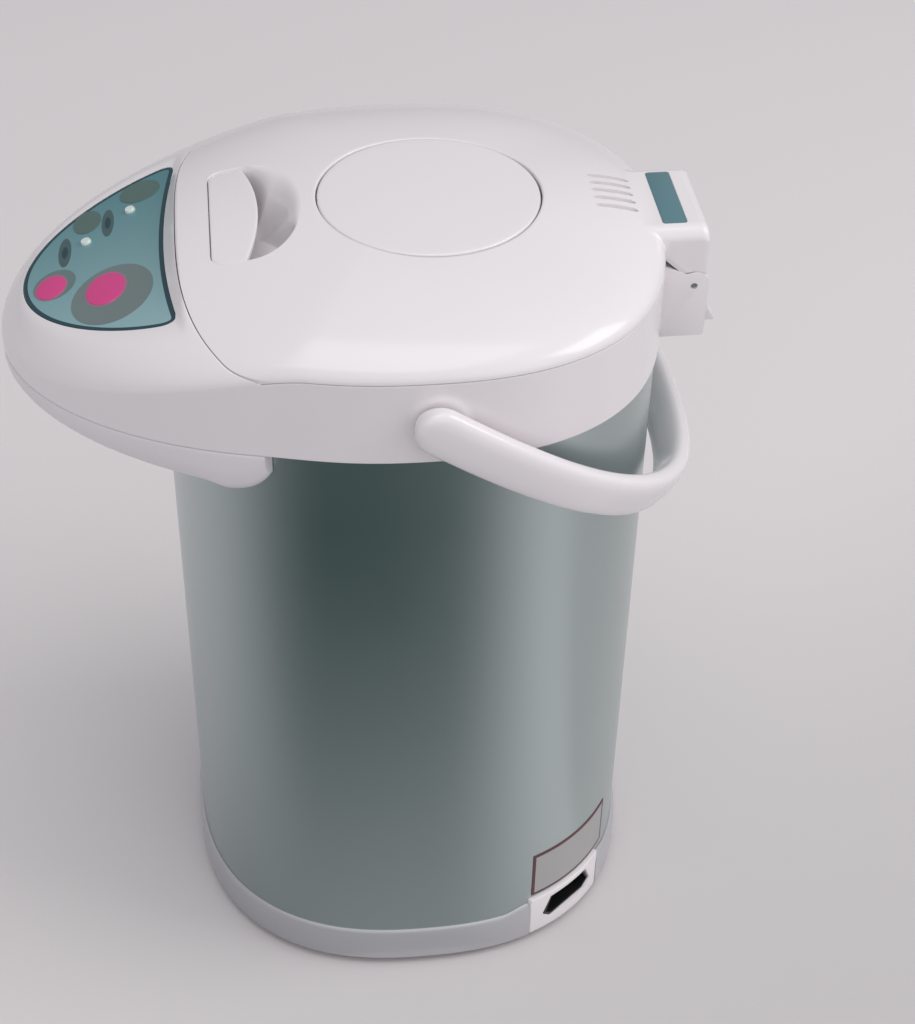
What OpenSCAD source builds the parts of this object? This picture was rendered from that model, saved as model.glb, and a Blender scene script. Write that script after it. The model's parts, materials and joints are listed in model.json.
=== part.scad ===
// Electric thermo pot with a pouring nose, a pump lid and a swing handle.
// Millimetres, +Z up. The origin is on the body's upright axis, at the table.
// The nose points to -Y and the lid hinge is at +Y.

/* [Body] */
// Half-width of the rounded-square body across its flats, at the collar
half_w = 100; // [97:0.5:108]
// Squareness of the body's plan: 2 is a circle, more is squarer
corner_n = 2.41; // [2.25:0.01:2.8]
// Height of the base ring's lower edge above the table
base_z = 2.5; // [2:0.1:4]
// Height of the base ring
base_h = 20; // [18:0.5:24]
// Amount by which the base ring stands proud of the collar
base_proud = 0.9; // [0.4:0.1:1.5]
// Wall of the base ring
base_wall = 3.4; // [3:0.1:4]
// Length of the painted sleeve
sleeve_h = 275; // [250:1:320]
// Sheet thickness of the sleeve
sleeve_t = 1; // [0.8:0.1:1.4]
// Depth of the rebate in the base ring that holds the sleeve
sleeve_seat = 4.5; // [3:0.1:6]
// Step from the collar's face in to the sleeve
sleeve_step = 1; // [0.6:0.1:1.5]

/* [Upper housing] */
// Height of the collar wall from its lower edge to the lid seam
collar_h = 35.4; // [32:0.2:40]
// Height of the lid's crown above the lid seam
crown_h = 19.5; // [17:0.5:20]
// Roundness of the crown: 2 is an ellipse, more is flatter on top
crown_n = 2; // [2:0.05:2.3]
// Wall of the moulded covers
cover_t = 2.6; // [2.2:0.1:3]
// Open seam between neighbouring covers
seam_gap = 0.5; // [0.3:0.05:0.8]
// Half-width of the nose's ellipse
nose_w = 95; // [90:0.5:96]
// Length of the nose's ellipse, from its centre to the tip
nose_l = 141; // [136:0.5:150]
// Distance of the nose's ellipse in front of the body's axis
nose_c = 20; // [16:0.5:24]
// Distance in front of the axis at which the nose starts to fall
nose_fall_y = 45; // [40:1:60]
// Height of the spout cover below the collar, at the body
chin_h = 23; // [20:0.5:28]
// Distance in front of the axis at which the spout cover ends
chin_back_y = 59; // [56:0.5:66]

/* [Lid] */
// Distance from the axis to the lid's front seam
lid_front = 90; // [88:0.5:92]
// Half-width of the curve that bounds the lid's front corners
lid_corner_w = 108; // [104:0.5:112]
// Half-width of the lid's tail over the hinge
tail_w = 25; // [23:0.5:28]
// Height of the tail's top above the collar's lower edge
tail_h = 46.9; // [45:0.1:48]
// Radius of the press disc
press_r = 43.6; // [40:0.2:46]
// Distance of the press disc behind the axis
press_y = 8.6; // [7:0.1:10]
// Depth of the press disc's edge below the lid's crown
press_sink = 1.7; // [1.2:0.1:2.2]
// Travel of the press disc
press_travel = 20; // [14:0.5:21]
// Running clearance round the press disc
press_gap = 0.5; // [0.3:0.05:0.8]
// Number of steam slots
vent_n = 5; // [3:1:7]
// Width of one steam slot
vent_w = 2.2; // [1.6:0.1:2.6]
// Length of one steam slot
vent_l = 17.5; // [10:0.5:18]
// Spacing of the steam slots
vent_pitch = 5.6; // [5:0.1:7]

/* [Lid latch] */
// Half-width of the latch lever
latch_w = 34; // [30:0.5:35]
// Distance from the axis to the latch lever's front edge
latch_front = 76.5; // [75.5:0.5:78]
// Distance from the axis to the middle of the lever's rear edge
latch_back = 57.9; // [56:0.1:61]
// Distance from the axis to the rear of the finger well
well_back = 41.7; // [41:0.1:46]
// Radius of the latch pin
latch_pin_r = 1.2; // [1:0.05:1.5]

/* [Hinge] */
// Distance of the hinge pin behind the collar
hinge_out = 11.4; // [11:0.1:13]
// Height of the hinge pin above the collar's lower edge
hinge_up = 20.9; // [19:0.1:22]
// Radius of the hinge pin
hinge_pin_r = 1.3; // [1.2:0.1:2]
// Radius of the bracket's rounded top round the pin
hinge_round = 6.4; // [6:0.1:7]
// Half-width of the lid's lug between the bracket's cheeks
lug_w = 14; // [12:0.5:16]

/* [Handle] */
// Gap between the housing and the handle's arms
bail_gap = 1.5; // [1:0.1:6]
// Reach of the grip's middle beyond the body's half-width
bail_reach = 28.8; // [28:0.2:50]
// Depth of the handle's band
bail_h = 19.4; // [16:0.2:24]
// Thickness of the handle's band
bail_t = 9; // [7:0.5:10]
// Height of the handle's pivots above the collar's lower edge
bail_up = 18.3; // [14:0.1:18.8]
// Distance of the handle's pivots behind the axis
bail_y = 2; // [0:0.5:4]
// Angle by which the resting handle hangs below level
bail_rest = 33.9; // [30:0.1:38]
// Radius of the handle's pivot pins
bail_pin_r = 4; // [3:0.1:5]

/* [Control panel] */
// Half-width of the panel's rear edge
panel_w = 57; // [50:0.5:58]
// Length of the panel along its slope
panel_l = 61; // [56:0.5:61]
// Slope of the panel
panel_tilt = 16.7; // [15:0.1:18]
// Thickness of the printed overlay
overlay_t = 0.8; // [0.5:0.05:1]
// Thickness of the carrier under the overlay
carrier_t = 2.4; // [2:0.1:3]
// Travel of the keys
key_travel = 0.6; // [0.3:0.05:0.8]
// Height of the resting keys above the overlay
key_proud = 0.4; // [0.2:0.05:0.5]
// Clearance round the keys
key_gap = 0.25; // [0.15:0.05:0.4]
// Radius of the indicator lenses
lens_r = 2.2; // [2:0.1:3]

/* [Tank and heater] */
// Outer radius of the steel tank
tank_r = 79; // [76:0.5:80]
// Sheet thickness of the tank
tank_t = 0.8; // [0.6:0.1:1]
// Height of the tank's floor above the table
tank_z = 66; // [64:0.5:80]
// Width of the tank's flange
flange_w = 5.5; // [4.5:0.1:6]
// Radius of the heater plate
heater_r = 58; // [56:0.5:62]
// Thickness of the heater plate
heater_t = 3; // [2.5:0.1:4]

/* [Pump] */
// Radius of the pump motor
motor_r = 12; // [10:0.5:13]
// Length of the pump motor
motor_h = 24; // [20:0.5:26]
// Radius of the pump housing
pump_r = 22; // [20:0.5:24]
// Height of the pump housing
pump_h = 14; // [13:0.5:15]
// Distance of the pump beside the axis
pump_x = 16; // [15:0.5:18]
// Distance of the pump in front of the axis
pump_y = 45; // [42:0.5:46]
// Outer radius of the water pipes
pipe_r = 4; // [3.6:0.1:4.2]
// Wall of the water pipes
pipe_t = 1; // [0.8:0.1:1.2]
// Wall of the rubber hoses
hose_t = 1.6; // [1.2:0.1:2]

/* [Turning base] */
// Radius of the turning plate
swivel_r = 72; // [66:0.5:78]
// Thickness of the turning plate
swivel_t = 2.5; // [2:0.1:3]
// Thickness of the rubber feet
foot_t = 2; // [1.8:0.1:2.5]
// Radius of the rubber feet
foot_r = 8; // [6:0.5:10]
// Radius of the pivot bolt
pivot_r = 4; // [3.5:0.1:5]
// Thickness of the bottom plate
bottom_t = 2.5; // [2:0.1:3]

/* [Power inlet] */
// Direction of the inlet, turned from +X towards +Y
inlet_turn = 39.5; // [36:0.5:43]
// Width of the inlet's frame
inlet_w = 45; // [42:0.5:46]
// Height of the inlet's frame
inlet_h = 23; // [22:0.5:24]
// Width of the six-sided socket
socket_w = 31; // [26:0.5:34]
// Height of the six-sided socket
socket_h = 13.4; // [12:0.1:14]

/* [Hidden] */

// Mesh resolution
plan_pts = 96;
skin_dirs = 112;
skin_steps = 12;
lid_steps = 9;
chin_dirs = 44;
chin_steps = 7;
bail_rings = 40;
bail_sides = 14;
round_fn = 64;
small_fn = 32;
eps = 0.05;

// Small standard clearances
touch = 0.2;
run_fit = 0.06;
rest_gap = 0.3;

// Levels
base_top = base_z + base_h;
sleeve_z = base_top - sleeve_seat;
collar_z = sleeve_z + sleeve_h;
seam_z = collar_z + collar_h;
crown_z = seam_z + crown_h;
press_z = crown_z - press_sink;
tail_z = collar_z + tail_h;
bail_z = collar_z + bail_up;
bail_w = half_w + bail_gap + bail_t / 2;
bail_l = half_w + bail_reach;
hinge_y = half_w + hinge_out;
hinge_z = collar_z + hinge_up;
nose_tip = nose_c + nose_l;
sleeve_a = half_w - sleeve_step;
base_a = half_w + base_proud;

function smax(a, b, k) = max(a, b) + pow(max(k - abs(a - b), 0), 2) / (4 * k);
function smin(a, b, k) = -smax(-a, -b, k);

// Rounded-square plan: the distance from the axis in direction p
function body_r(p, a) = a / pow(pow(abs(cos(p)), corner_n) + pow(abs(sin(p)), corner_n), 1 / corner_n);
function body_plan(a) = [for (i = [0 : plan_pts - 1]) let (p = 360 * i / plan_pts) body_r(p, a) * [cos(p), sin(p)]];
module body_outline(a) { polygon(body_plan(a)); }
module body_ring(outer, inner, z, h) {
    translate([0, 0, z]) linear_extrude(h) difference() {
        body_outline(outer);
        body_outline(inner);
    }
}

// Plan of the upper housing: the body blended into the nose's ellipse
nose_blend = 6;
function nose_r(p) =
    let (qa = pow(cos(p) / nose_w, 2) + pow(sin(p) / nose_l, 2),
        qb = 2 * sin(p) * nose_c / pow(nose_l, 2),
        qc = pow(nose_c / nose_l, 2) - 1)
    (-qb + sqrt(qb * qb - 4 * qa * qc)) / (2 * qa);
function house_r(p, inset = 0) =
    sin(p) < 0 ? smax(body_r(p, half_w), nose_r(p), nose_blend) - inset : body_r(p, half_w) - inset;

// Plan of the lid: the housing cut off by a rounded front edge
lid_front_n = 3;
lid_blend = 6;
function front_r(p) =
    1 / pow(pow(abs(cos(p)) / lid_corner_w, lid_front_n) + pow(abs(sin(p)) / lid_front, lid_front_n), 1 / lid_front_n);
function lid_r(p) = sin(p) < 0 ? smin(house_r(p), front_r(p), lid_blend) : house_r(p);

// Height of the wall under the crown: level round the body, falling along the nose
tip_wall = 2;
fall_ease = 0.15;
function fall(p) = min(max((-house_r(p) * sin(p) - nose_fall_y) / (nose_tip - nose_fall_y), 0), 1);
function wall_z(p) =
    seam_z - (collar_h - tip_wall) * pow(fall(p), 2) * (1 + fall_ease) / (fall(p) + fall_ease);
rear_fullness = 1.1;
rear_spread = 10;
function cap_z(x, y) =
    let (p = atan2(y, x), rho = min(norm([x, y]) / house_r(p), 1), zw = wall_z(p),
        n = crown_n + rear_fullness * pow(max(sin(p), 0), rear_spread))
    zw + (crown_z - zw) * pow(max(1 - pow(rho, n), 0), 1 / n);

// Floor of the spout cover, by the distance in front of the axis
chin_t = 2.4;
chin_rise = 9;
chin_end_r = 24;
chin_min = 3;
chin_keel = 80;
chin_round = 15;
chin_lip = 4;
function chin_floor(y) = collar_z - chin_h + chin_rise * pow(max(y - chin_keel, 0) / (nose_tip - chin_keel), 0.8);

// The lid's tail: a level ridge over the hinge that fades forward into the crown
tail_round = 5.5;
tail_fade_y = half_w - 6;
tail_fade = 0.05;
tail_side_slope = 4;
tail_blend = 2;
function ridge_z(x, y) =
    let (e = max(abs(x) - tail_w + tail_round, 0), f = max(tail_fade_y - y, 0),
        drop = e < tail_round ? tail_round - sqrt(tail_round * tail_round - e * e)
            : tail_round + (e - tail_round) * tail_side_slope)
    tail_z - drop - tail_fade * f * f;

// The panel's plane, and the riser behind it up to the crown
panel_y = -(lid_front + 2);
panel_z = collar_z + 37.9;
panel_dip = 3.2;
panel_bow = 5.3;
riser_slope = 1.4;
panel_blend = 1.5;
function panel_edge(x) = -panel_dip + panel_bow * pow(x / panel_w, 2);
function panel_top(x, y) =
    panel_z + tan(panel_tilt) * (y - panel_y) + riser_slope * max(0, y - panel_y - panel_edge(x));

function skin_z(x, y) = smin(smax(cap_z(x, y), ridge_z(x, y), tail_blend), panel_top(x, y), panel_blend);

// A closed or open skin through equal loops of points
module skin(loops, closed = true) {
    n = len(loops);
    m = len(loops[0]);
    spans = closed ? n : n - 1;
    sides = [for (i = [0 : spans - 1]) for (j = [0 : m - 1])
        let (a = i * m + j, b = i * m + (j + 1) % m, c = ((i + 1) % n) * m + (j + 1) % m, d = ((i + 1) % n) * m + j)
        each [[a, b, c], [a, c, d]]];
    ends = closed ? [] : [[for (j = [m - 1 : -1 : 0]) j], [for (j = [0 : m - 1]) (n - 1) * m + j]];
    polyhedron([for (l = loops) each l], concat(sides, ends), convexity = 10);
}

// Points moved t to the left of a path of [distance, height] points
function inset_path(path, t) = [for (i = [0 : len(path) - 1])
    let (d = path[min(i + 1, len(path) - 1)] - path[max(i - 1, 0)]) path[i] + t * [-d[1], d[0]] / norm(d)];
function reversed(v) = [for (i = [len(v) - 1 : -1 : 0]) v[i]];
function wall_loop(path, t) = concat(path, reversed(inset_path(path, t)));
function in_direction(loop, p) = [for (q = loop) [q[0] * cos(p), q[0] * sin(p), q[1]]];

module on_panel() { translate([0, panel_y, panel_z]) rotate([panel_tilt, 0, 0]) children(); }
module at_inlet() { rotate([0, 0, inlet_turn]) children(); }
module mirror_x() {
    children();
    mirror([1, 0, 0]) children();
}
module at_quarters(r) { for (a = [0 : 90 : 270]) rotate([0, 0, a]) translate([r, 0, 0]) children(); }
module tube(r_out, r_in, h, fn = round_fn) {
    difference() {
        cylinder(h = h, r = r_out, $fn = fn);
        translate([0, 0, -eps]) cylinder(h = h + 2 * eps, r = r_in, $fn = fn);
    }
}
module along_x(x, y, z) { translate([x, y, z]) rotate([0, 90, 0]) children(); }

// ---- Turning base ----
swivel_z = foot_t;
swivel_rim = 2;
rim_w = 3;
hub_r = 12;
foot_ring_r = swivel_r - foot_r - 6;
glide_w = 6;
glide_r = swivel_r - 18;
bottom_z = swivel_z + swivel_t + 3.7;
bottom_top = bottom_z + bottom_t;
boss_h = 5.3;
boss_r = pivot_r + 6;
bolt_head_r = pivot_r + 3;
bolt_head_h = 3;

module swivel_base() {
    color("#e9e6e4") difference() {
        union() {
            translate([0, 0, swivel_z]) cylinder(h = swivel_t, r = swivel_r, $fn = round_fn);
            translate([0, 0, swivel_z + swivel_t - eps])
                tube(swivel_r, swivel_r - rim_w, swivel_rim + eps);
            translate([0, 0, swivel_z]) cylinder(h = bottom_z - swivel_z - rest_gap, r = hub_r, $fn = round_fn);
        }
        translate([0, 0, swivel_z - eps]) cylinder(h = bottom_z, r = pivot_r, $fn = small_fn);
    }
}

module swivel_feet() {
    color("#4a4a4c") union() {
        rotate([0, 0, 45]) at_quarters(foot_ring_r) cylinder(h = foot_t, r = foot_r, $fn = small_fn);
        cylinder(h = foot_t, r = foot_r, $fn = small_fn);
    }
}

module glide_ring() {
    color("#d8d8d2") translate([0, 0, swivel_z + swivel_t])
        tube(glide_r + glide_w / 2, glide_r - glide_w / 2, bottom_z - swivel_z - swivel_t - rest_gap);
}

module pivot_bolt() {
    color("#b9bcc0") union() {
        translate([0, 0, swivel_z]) cylinder(h = bottom_top + boss_h - swivel_z + touch, r = pivot_r, $fn = small_fn);
        translate([0, 0, bottom_top + boss_h + touch]) cylinder(h = bolt_head_h, r = bolt_head_r, $fn = small_fn);
    }
}

// ---- Base ----
ledge_in = 12;
ledge_t = 2.5;
screw_in = 7.5;
screw_r = 1.7;
screw_head_r = 3.4;
screw_head_h = 1.8;
screw_boss_r = 4.4;
chamfer_h = 1.5;
chamfer_in = 0.7;
inner_a = base_a - base_wall;
inlet_mid = body_r(inlet_turn + 1, base_a) * cos(1);
inlet_z = 5;
inlet_d = 18;
post_r = 3;
post_h = 8;
board_at = [-38, 30];
board_size = [56, 64];
board_t = 1.6;
post_inset = 4;

module inlet_window(grow) {
    at_inlet() translate([inlet_mid - inlet_d - 6, -inlet_w / 2 - grow, inlet_z - grow])
        cube([inlet_d + 16, inlet_w + 2 * grow, inlet_h + 2 * grow]);
}

module base_ring() {
    color("#e6e3e3") difference() {
        union() {
            body_ring(base_a - chamfer_in, inner_a, base_z, chamfer_h);
            body_ring(base_a, inner_a, base_z + chamfer_h, sleeve_z - base_z - chamfer_h);
            body_ring(base_a, sleeve_a + touch, sleeve_z, sleeve_seat);
            body_ring(inner_a + eps, inner_a - ledge_in, bottom_top, ledge_t);
            at_quarters(inner_a - screw_in + 2.4)
                translate([0, 0, bottom_top]) cylinder(h = sleeve_z - bottom_top, r = screw_boss_r, $fn = small_fn);
        }
        at_quarters(inner_a - screw_in + 2.4)
            translate([0, 0, bottom_top - eps]) cylinder(h = sleeve_z - bottom_top - 2, r = screw_r, $fn = small_fn);
        inlet_window(touch);
    }
}

module bottom_plate() {
    color("#dedbd9") difference() {
        union() {
            translate([0, 0, bottom_z]) linear_extrude(bottom_t) body_outline(inner_a - touch);
            translate([0, 0, bottom_top - eps]) cylinder(h = boss_h + eps, r = boss_r, $fn = small_fn);
            for (sx = [-1, 1]) for (sy = [-1, 1])
                translate([board_at[0] + sx * (board_size[0] / 2 - post_inset),
                    board_at[1] + sy * (board_size[1] / 2 - post_inset), bottom_top - eps])
                    cylinder(h = post_h + eps, r = post_r, $fn = small_fn);
        }
        translate([0, 0, bottom_z - eps])
            cylinder(h = bottom_t + boss_h + 2 * eps, r = pivot_r + run_fit, $fn = small_fn);
        at_quarters(inner_a - screw_in + 2.4)
            translate([0, 0, bottom_z - eps]) cylinder(h = bottom_t + 2 * eps, r = screw_r + touch, $fn = small_fn);
        inlet_window(touch);
    }
}

module base_screws() {
    color("#9fa2a6") at_quarters(inner_a - screw_in + 2.4) union() {
        translate([0, 0, bottom_z - screw_head_h]) cylinder(h = screw_head_h, r = screw_head_r, $fn = small_fn);
        translate([0, 0, bottom_z - eps]) cylinder(h = sleeve_z - bottom_z - 3, r = screw_r, $fn = small_fn);
    }
}

window_w = 5;
window_up = 52;
window_down = 43;
window_z = sleeve_z + window_up;
window_h = collar_z - window_down - window_z;

module outer_sleeve() {
    color("#8f9a9c") difference() {
        body_ring(sleeve_a, sleeve_a - sleeve_t, sleeve_z, sleeve_h);
        translate([-window_w, -half_w - 5, window_z]) cube([2 * window_w, 20, window_h]);
        inlet_window(touch);
    }
}

module level_window() {
    color("#dfe8ea") intersection() {
        body_ring(sleeve_a + eps, sleeve_a - sleeve_t - 0.6, window_z + touch, window_h - 2 * touch);
        translate([-window_w + touch, -half_w - 5, window_z]) cube([2 * (window_w - touch), 20, window_h]);
    }
}

label_from = 28;
label_to = 55;
label_z = base_top + 7;
label_h = 27;
label_t = 0.3;
label_steps = 16;

module rating_label() {
    dirs = [for (i = [0 : label_steps]) label_from + (label_to - label_from) * i / label_steps];
    inner = [for (p = dirs) body_r(p, sleeve_a + eps) * [cos(p), sin(p)]];
    outer = [for (p = reversed(dirs)) body_r(p, sleeve_a + eps + label_t) * [cos(p), sin(p)]];
    color("#b9b2ae") translate([0, 0, label_z]) linear_extrude(label_h) polygon(concat(inner, outer));
}

// ---- Power inlet ----
socket_z = inlet_z + 13;
socket_wall = 1.2;
socket_floor = 2;
pin_r = 1.6;
pin_gap = 15;
pin_l = 10;

function hexagon(w, h) = [[-w / 2, -h / 5], [-w / 2 + h / 3, -h / 2], [w / 2 - h / 3, -h / 2],
    [w / 2, -h / 5], [w / 2 - h / 3, h / 2], [-w / 2 + h / 3, h / 2]];
module socket_bar(w, h, from, to) {
    at_inlet() translate([from, 0, socket_z]) rotate([90, 0, 90]) linear_extrude(to - from) polygon(hexagon(w, h));
}

module inlet_housing() {
    color("#eceaea") difference() {
        intersection() {
            at_inlet() translate([inlet_mid - inlet_d, -inlet_w / 2, inlet_z]) cube([inlet_d + 10, inlet_w, inlet_h]);
            linear_extrude(collar_z) body_outline(base_a);
        }
        socket_bar(socket_w, socket_h, inlet_mid - inlet_d - eps, inlet_mid + 10);
    }
}

module inlet_socket() {
    color("#17181a") difference() {
        socket_bar(socket_w - 2 * eps, socket_h - 2 * eps, inlet_mid - inlet_d, inlet_mid - 1.6);
        socket_bar(socket_w - 2 * socket_wall, socket_h - 2 * socket_wall,
            inlet_mid - inlet_d + socket_floor, inlet_mid + 5);
    }
}

module inlet_pins() {
    color("#c9b46a") at_inlet() for (s = [-1, 1])
        along_x(inlet_mid - inlet_d + socket_floor, s * pin_gap / 2, socket_z) cylinder(h = pin_l, r = pin_r, $fn = small_fn);
}

// ---- Electronics in the base ----
board_z = bottom_top + post_h;
board_top = board_z + board_t;
coil_at = [-47, 42];
coil_size = [30, 26, 22];

module power_board() {
    color("#2f6b4a") translate([board_at[0] - board_size[0] / 2, board_at[1] - board_size[1] / 2, board_z])
        cube([board_size[0], board_size[1], board_t]);
}

module board_parts() {
    color("#3a3c40") translate([coil_at[0] - coil_size[0] / 2, coil_at[1] - coil_size[1] / 2, board_top]) union() {
        cube(coil_size);
        translate([5, -2, 3]) cube([coil_size[0] - 10, coil_size[1] + 4, coil_size[2] - 6]);
    }
    color("#5b5e66") union() {
        for (i = [0 : 2]) translate([-20, 8 + 13 * i, board_top]) cylinder(h = 14, r = 5, $fn = small_fn);
        translate([-60, 4, board_top]) cube([18, 14, 16]);
        translate([-38, 4, board_top]) cube([10, 16, 9]);
    }
}

// ---- Tank, heater and stand ----
flange_z = collar_z + 7;
flange_r = tank_r + flange_w;
nipple_r = pipe_r + 1;
nipple_h = 6;
stand_t = 2;
stand_in = tank_r - 11;
leg_r = 4;
leg_ring = tank_r - 5;
element_r = 3;

module inner_tank() {
    color("#c3c7c9") difference() {
        union() {
            translate([0, 0, tank_z]) cylinder(h = flange_z - tank_z, r = tank_r, $fn = round_fn);
            translate([0, 0, flange_z - tank_t]) cylinder(h = tank_t, r = flange_r, $fn = round_fn);
            translate([pump_x, -pump_y, tank_z - nipple_h]) cylinder(h = nipple_h + eps, r = nipple_r, $fn = small_fn);
        }
        translate([0, 0, tank_z + tank_t])
            cylinder(h = flange_z - tank_z, r = tank_r - tank_t, $fn = round_fn);
        translate([pump_x, -pump_y, tank_z - nipple_h - eps])
            cylinder(h = nipple_h + 2, r = nipple_r - pipe_t, $fn = small_fn);
    }
}

module tank_seal() {
    color("#b5b2ac") translate([0, 0, flange_z]) tube(flange_r - 0.5, tank_r - 1.5, seal_t);
}

module heater() {
    color("#a9abad") difference() {
        translate([0, 0, tank_z - heater_t]) cylinder(h = heater_t, r = heater_r, $fn = round_fn);
        translate([pump_x, -pump_y, tank_z - heater_t - eps])
            cylinder(h = heater_t + 2 * eps, r = nipple_r + hose_t + 1, $fn = small_fn);
    }
    color("#6f6a66") translate([0, 0, tank_z - heater_t - element_r]) rotate_extrude($fn = round_fn)
        translate([heater_r - 26, 0]) circle(r = element_r, $fn = small_fn);
}

module thermal_controls() {
    color("#d4cfc2") translate([0, 0, tank_z - heater_t - 9]) union() {
        cylinder(h = 9, r = 8, $fn = small_fn);
        translate([-12, -3, 3]) cube([24, 6, 2]);
    }
    color("#c8c4ba") along_x(-20, 44, tank_z - heater_t - 2.5) union() {
        cylinder(h = 16, r = 2.5, $fn = small_fn);
        translate([0, 0, -4]) cylinder(h = 24, r = 0.8, $fn = small_fn);
    }
}

module tank_stand() {
    color("#9a9da0") union() {
        translate([0, 0, tank_z - stand_t]) tube(tank_r, stand_in, stand_t);
        for (a = [90 : 120 : 330]) rotate([0, 0, a]) translate([leg_ring, 0, bottom_top])
            cylinder(h = tank_z - stand_t - bottom_top + eps, r = leg_r, $fn = small_fn);
    }
}

// ---- Pump and water path ----
pump_z = bottom_top + motor_h;
pump_top = pump_z + pump_h;
pump_wall = 2;
shaft_r = 1.5;
inlet_pipe_h = 8;
outlet_z = pump_z + pump_h / 2;
riser_y = half_w - 9.5;
elbow_h = 15;
pipe_turn_z = collar_z + 8.4;
spout_y = 130;
spout_drop = 12;
pipe_end_z = chin_z(-90) - 2;

module pump_motor() {
    color("#8d9094") translate([pump_x, -pump_y, bottom_top]) union() {
        cylinder(h = motor_h, r = motor_r, $fn = small_fn);
        cylinder(h = 2, r = motor_r + 3, $fn = small_fn);
    }
}

module pump_housing() {
    color("#e3e0da") difference() {
        union() {
            translate([pump_x, -pump_y, pump_z]) cylinder(h = pump_h, r = pump_r, $fn = round_fn);
            translate([pump_x, -pump_y, pump_top - eps])
                cylinder(h = inlet_pipe_h + eps, r = nipple_r, $fn = small_fn);
            translate([0, -pump_y, outlet_z]) rotate([90, 0, 0])
                cylinder(h = riser_y - pump_y - 12, r = pipe_r, $fn = small_fn);
        }
        translate([pump_x, -pump_y, pump_z + pump_wall])
            cylinder(h = pump_h - 2 * pump_wall, r = pump_r - pump_wall, $fn = round_fn);
        translate([pump_x, -pump_y, pump_top - pump_wall - eps])
            cylinder(h = inlet_pipe_h + pump_wall + 1, r = nipple_r - pipe_t, $fn = small_fn);
        translate([0, -pump_y, outlet_z]) rotate([90, 0, 0])
            cylinder(h = riser_y - pump_y, r = pipe_r - pipe_t, $fn = small_fn);
        translate([pump_x, -pump_y, pump_z - eps])
            cylinder(h = pump_wall + 1, r = shaft_r + run_fit, $fn = small_fn);
    }
}

blade_n = 6;
module impeller() {
    color("#d9a23c") translate([pump_x, -pump_y, pump_z]) union() {
        translate([0, 0, touch]) cylinder(h = pump_h - pump_wall - 1, r = shaft_r, $fn = small_fn);
        translate([0, 0, pump_wall + 0.6]) cylinder(h = 1.6, r = pump_r - pump_wall - 2, $fn = round_fn);
        for (i = [0 : blade_n - 1]) rotate([0, 0, 360 * i / blade_n])
            translate([3, -0.6, pump_wall + 0.6]) cube([pump_r - pump_wall - 6, 1.2, pump_h - 2 * pump_wall - 1.6]);
    }
}

module hoses() {
    color("#c4beb4") translate([pump_x, -pump_y, pump_top + 1])
        tube(nipple_r + hose_t, nipple_r + eps, tank_z - pump_top - 1.5, small_fn);
    r = pipe_r + hose_t;
    color("#c4beb4") difference() {
        union() {
            translate([0, -riser_y, outlet_z]) rotate([-90, 0, 0]) cylinder(h = 22, r = r, $fn = small_fn);
            translate([0, -riser_y, outlet_z]) cylinder(h = elbow_h, r = r, $fn = small_fn);
            translate([0, -riser_y, outlet_z]) sphere(r = r, $fn = small_fn);
        }
        translate([0, -riser_y, outlet_z]) rotate([-90, 0, 0])
            cylinder(h = 22 + eps, r = pipe_r + eps, $fn = small_fn);
        translate([0, -riser_y, outlet_z]) cylinder(h = elbow_h + eps, r = pipe_r + eps, $fn = small_fn);
    }
}

module level_tube() {
    color("#dfe9ea") translate([0, -riser_y, outlet_z + pipe_r + hose_t])
        tube(pipe_r, pipe_r - pipe_t, pipe_turn_z - outlet_z - 2 * pipe_r - hose_t - 4, small_fn);
}

module pipe_run(r) {
    translate([0, -riser_y, pipe_turn_z - 14]) cylinder(h = 14, r = r, $fn = small_fn);
    translate([0, -riser_y, pipe_turn_z]) sphere(r = r, $fn = small_fn);
    translate([0, -riser_y, pipe_turn_z]) rotate([90, 0, 0]) cylinder(h = spout_y - riser_y, r = r, $fn = small_fn);
    translate([0, -spout_y, pipe_turn_z]) sphere(r = r, $fn = small_fn);
    translate([0, -spout_y, pipe_end_z]) cylinder(h = pipe_turn_z - pipe_end_z, r = r, $fn = small_fn);
}

module spout_pipe() {
    r = pipe_r + 0.5;
    color("#d2cfca") difference() {
        pipe_run(r);
        pipe_run(r - pipe_t);
        translate([0, -spout_y, pipe_end_z - 1]) cylinder(h = 3, r = r - pipe_t, $fn = small_fn);
        translate([0, -riser_y, pipe_turn_z - 15]) cylinder(h = 3, r = r - pipe_t, $fn = small_fn);
        translate([0, -riser_y, pipe_turn_z - 15]) cylinder(h = 11 - 1, r = pipe_r + eps, $fn = small_fn);
    }
}

nozzle_wall = 2.2;
nozzle_h = spout_drop + chin_t + 2 + touch;
module spout_nozzle() {
    r = pipe_r + 0.5 + eps;
    color("#d9d6d4") translate([0, -spout_y, chin_z(-90) - spout_drop]) difference() {
        union() {
            cylinder(h = nozzle_h, r = r + nozzle_wall, $fn = small_fn);
            translate([0, 0, nozzle_h - 2]) cylinder(h = 2, r = r + nozzle_wall + 3, $fn = small_fn);
        }
        translate([0, 0, -eps]) cylinder(h = nozzle_h + 1, r = r, $fn = small_fn);
    }
}

// ---- Collar, mouth ring and spout cover ----
function cap_angle(p, r) = acos(pow(min(r / house_r(p), 1), crown_n / 2));
function collar_path(p) =
    let (big = house_r(p), end = min(big, lid_r(p) + seam_gap), zw = wall_z(p),
        wall = zw - seam_gap - collar_z, a = cap_angle(p, end), cap = norm([big - end, (crown_z - zw) * sin(a)]))
    [for (i = [0 : skin_steps]) let (s = (wall + cap) * i / skin_steps)
        s <= wall ? [big, collar_z + s]
        : let (r = big * pow(cos(a * (s - wall) / cap), 2 / crown_n)) [r, skin_z(r * cos(p), r * sin(p))]];

fairing_r = 12;
fairing_t = 0.9;

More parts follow.
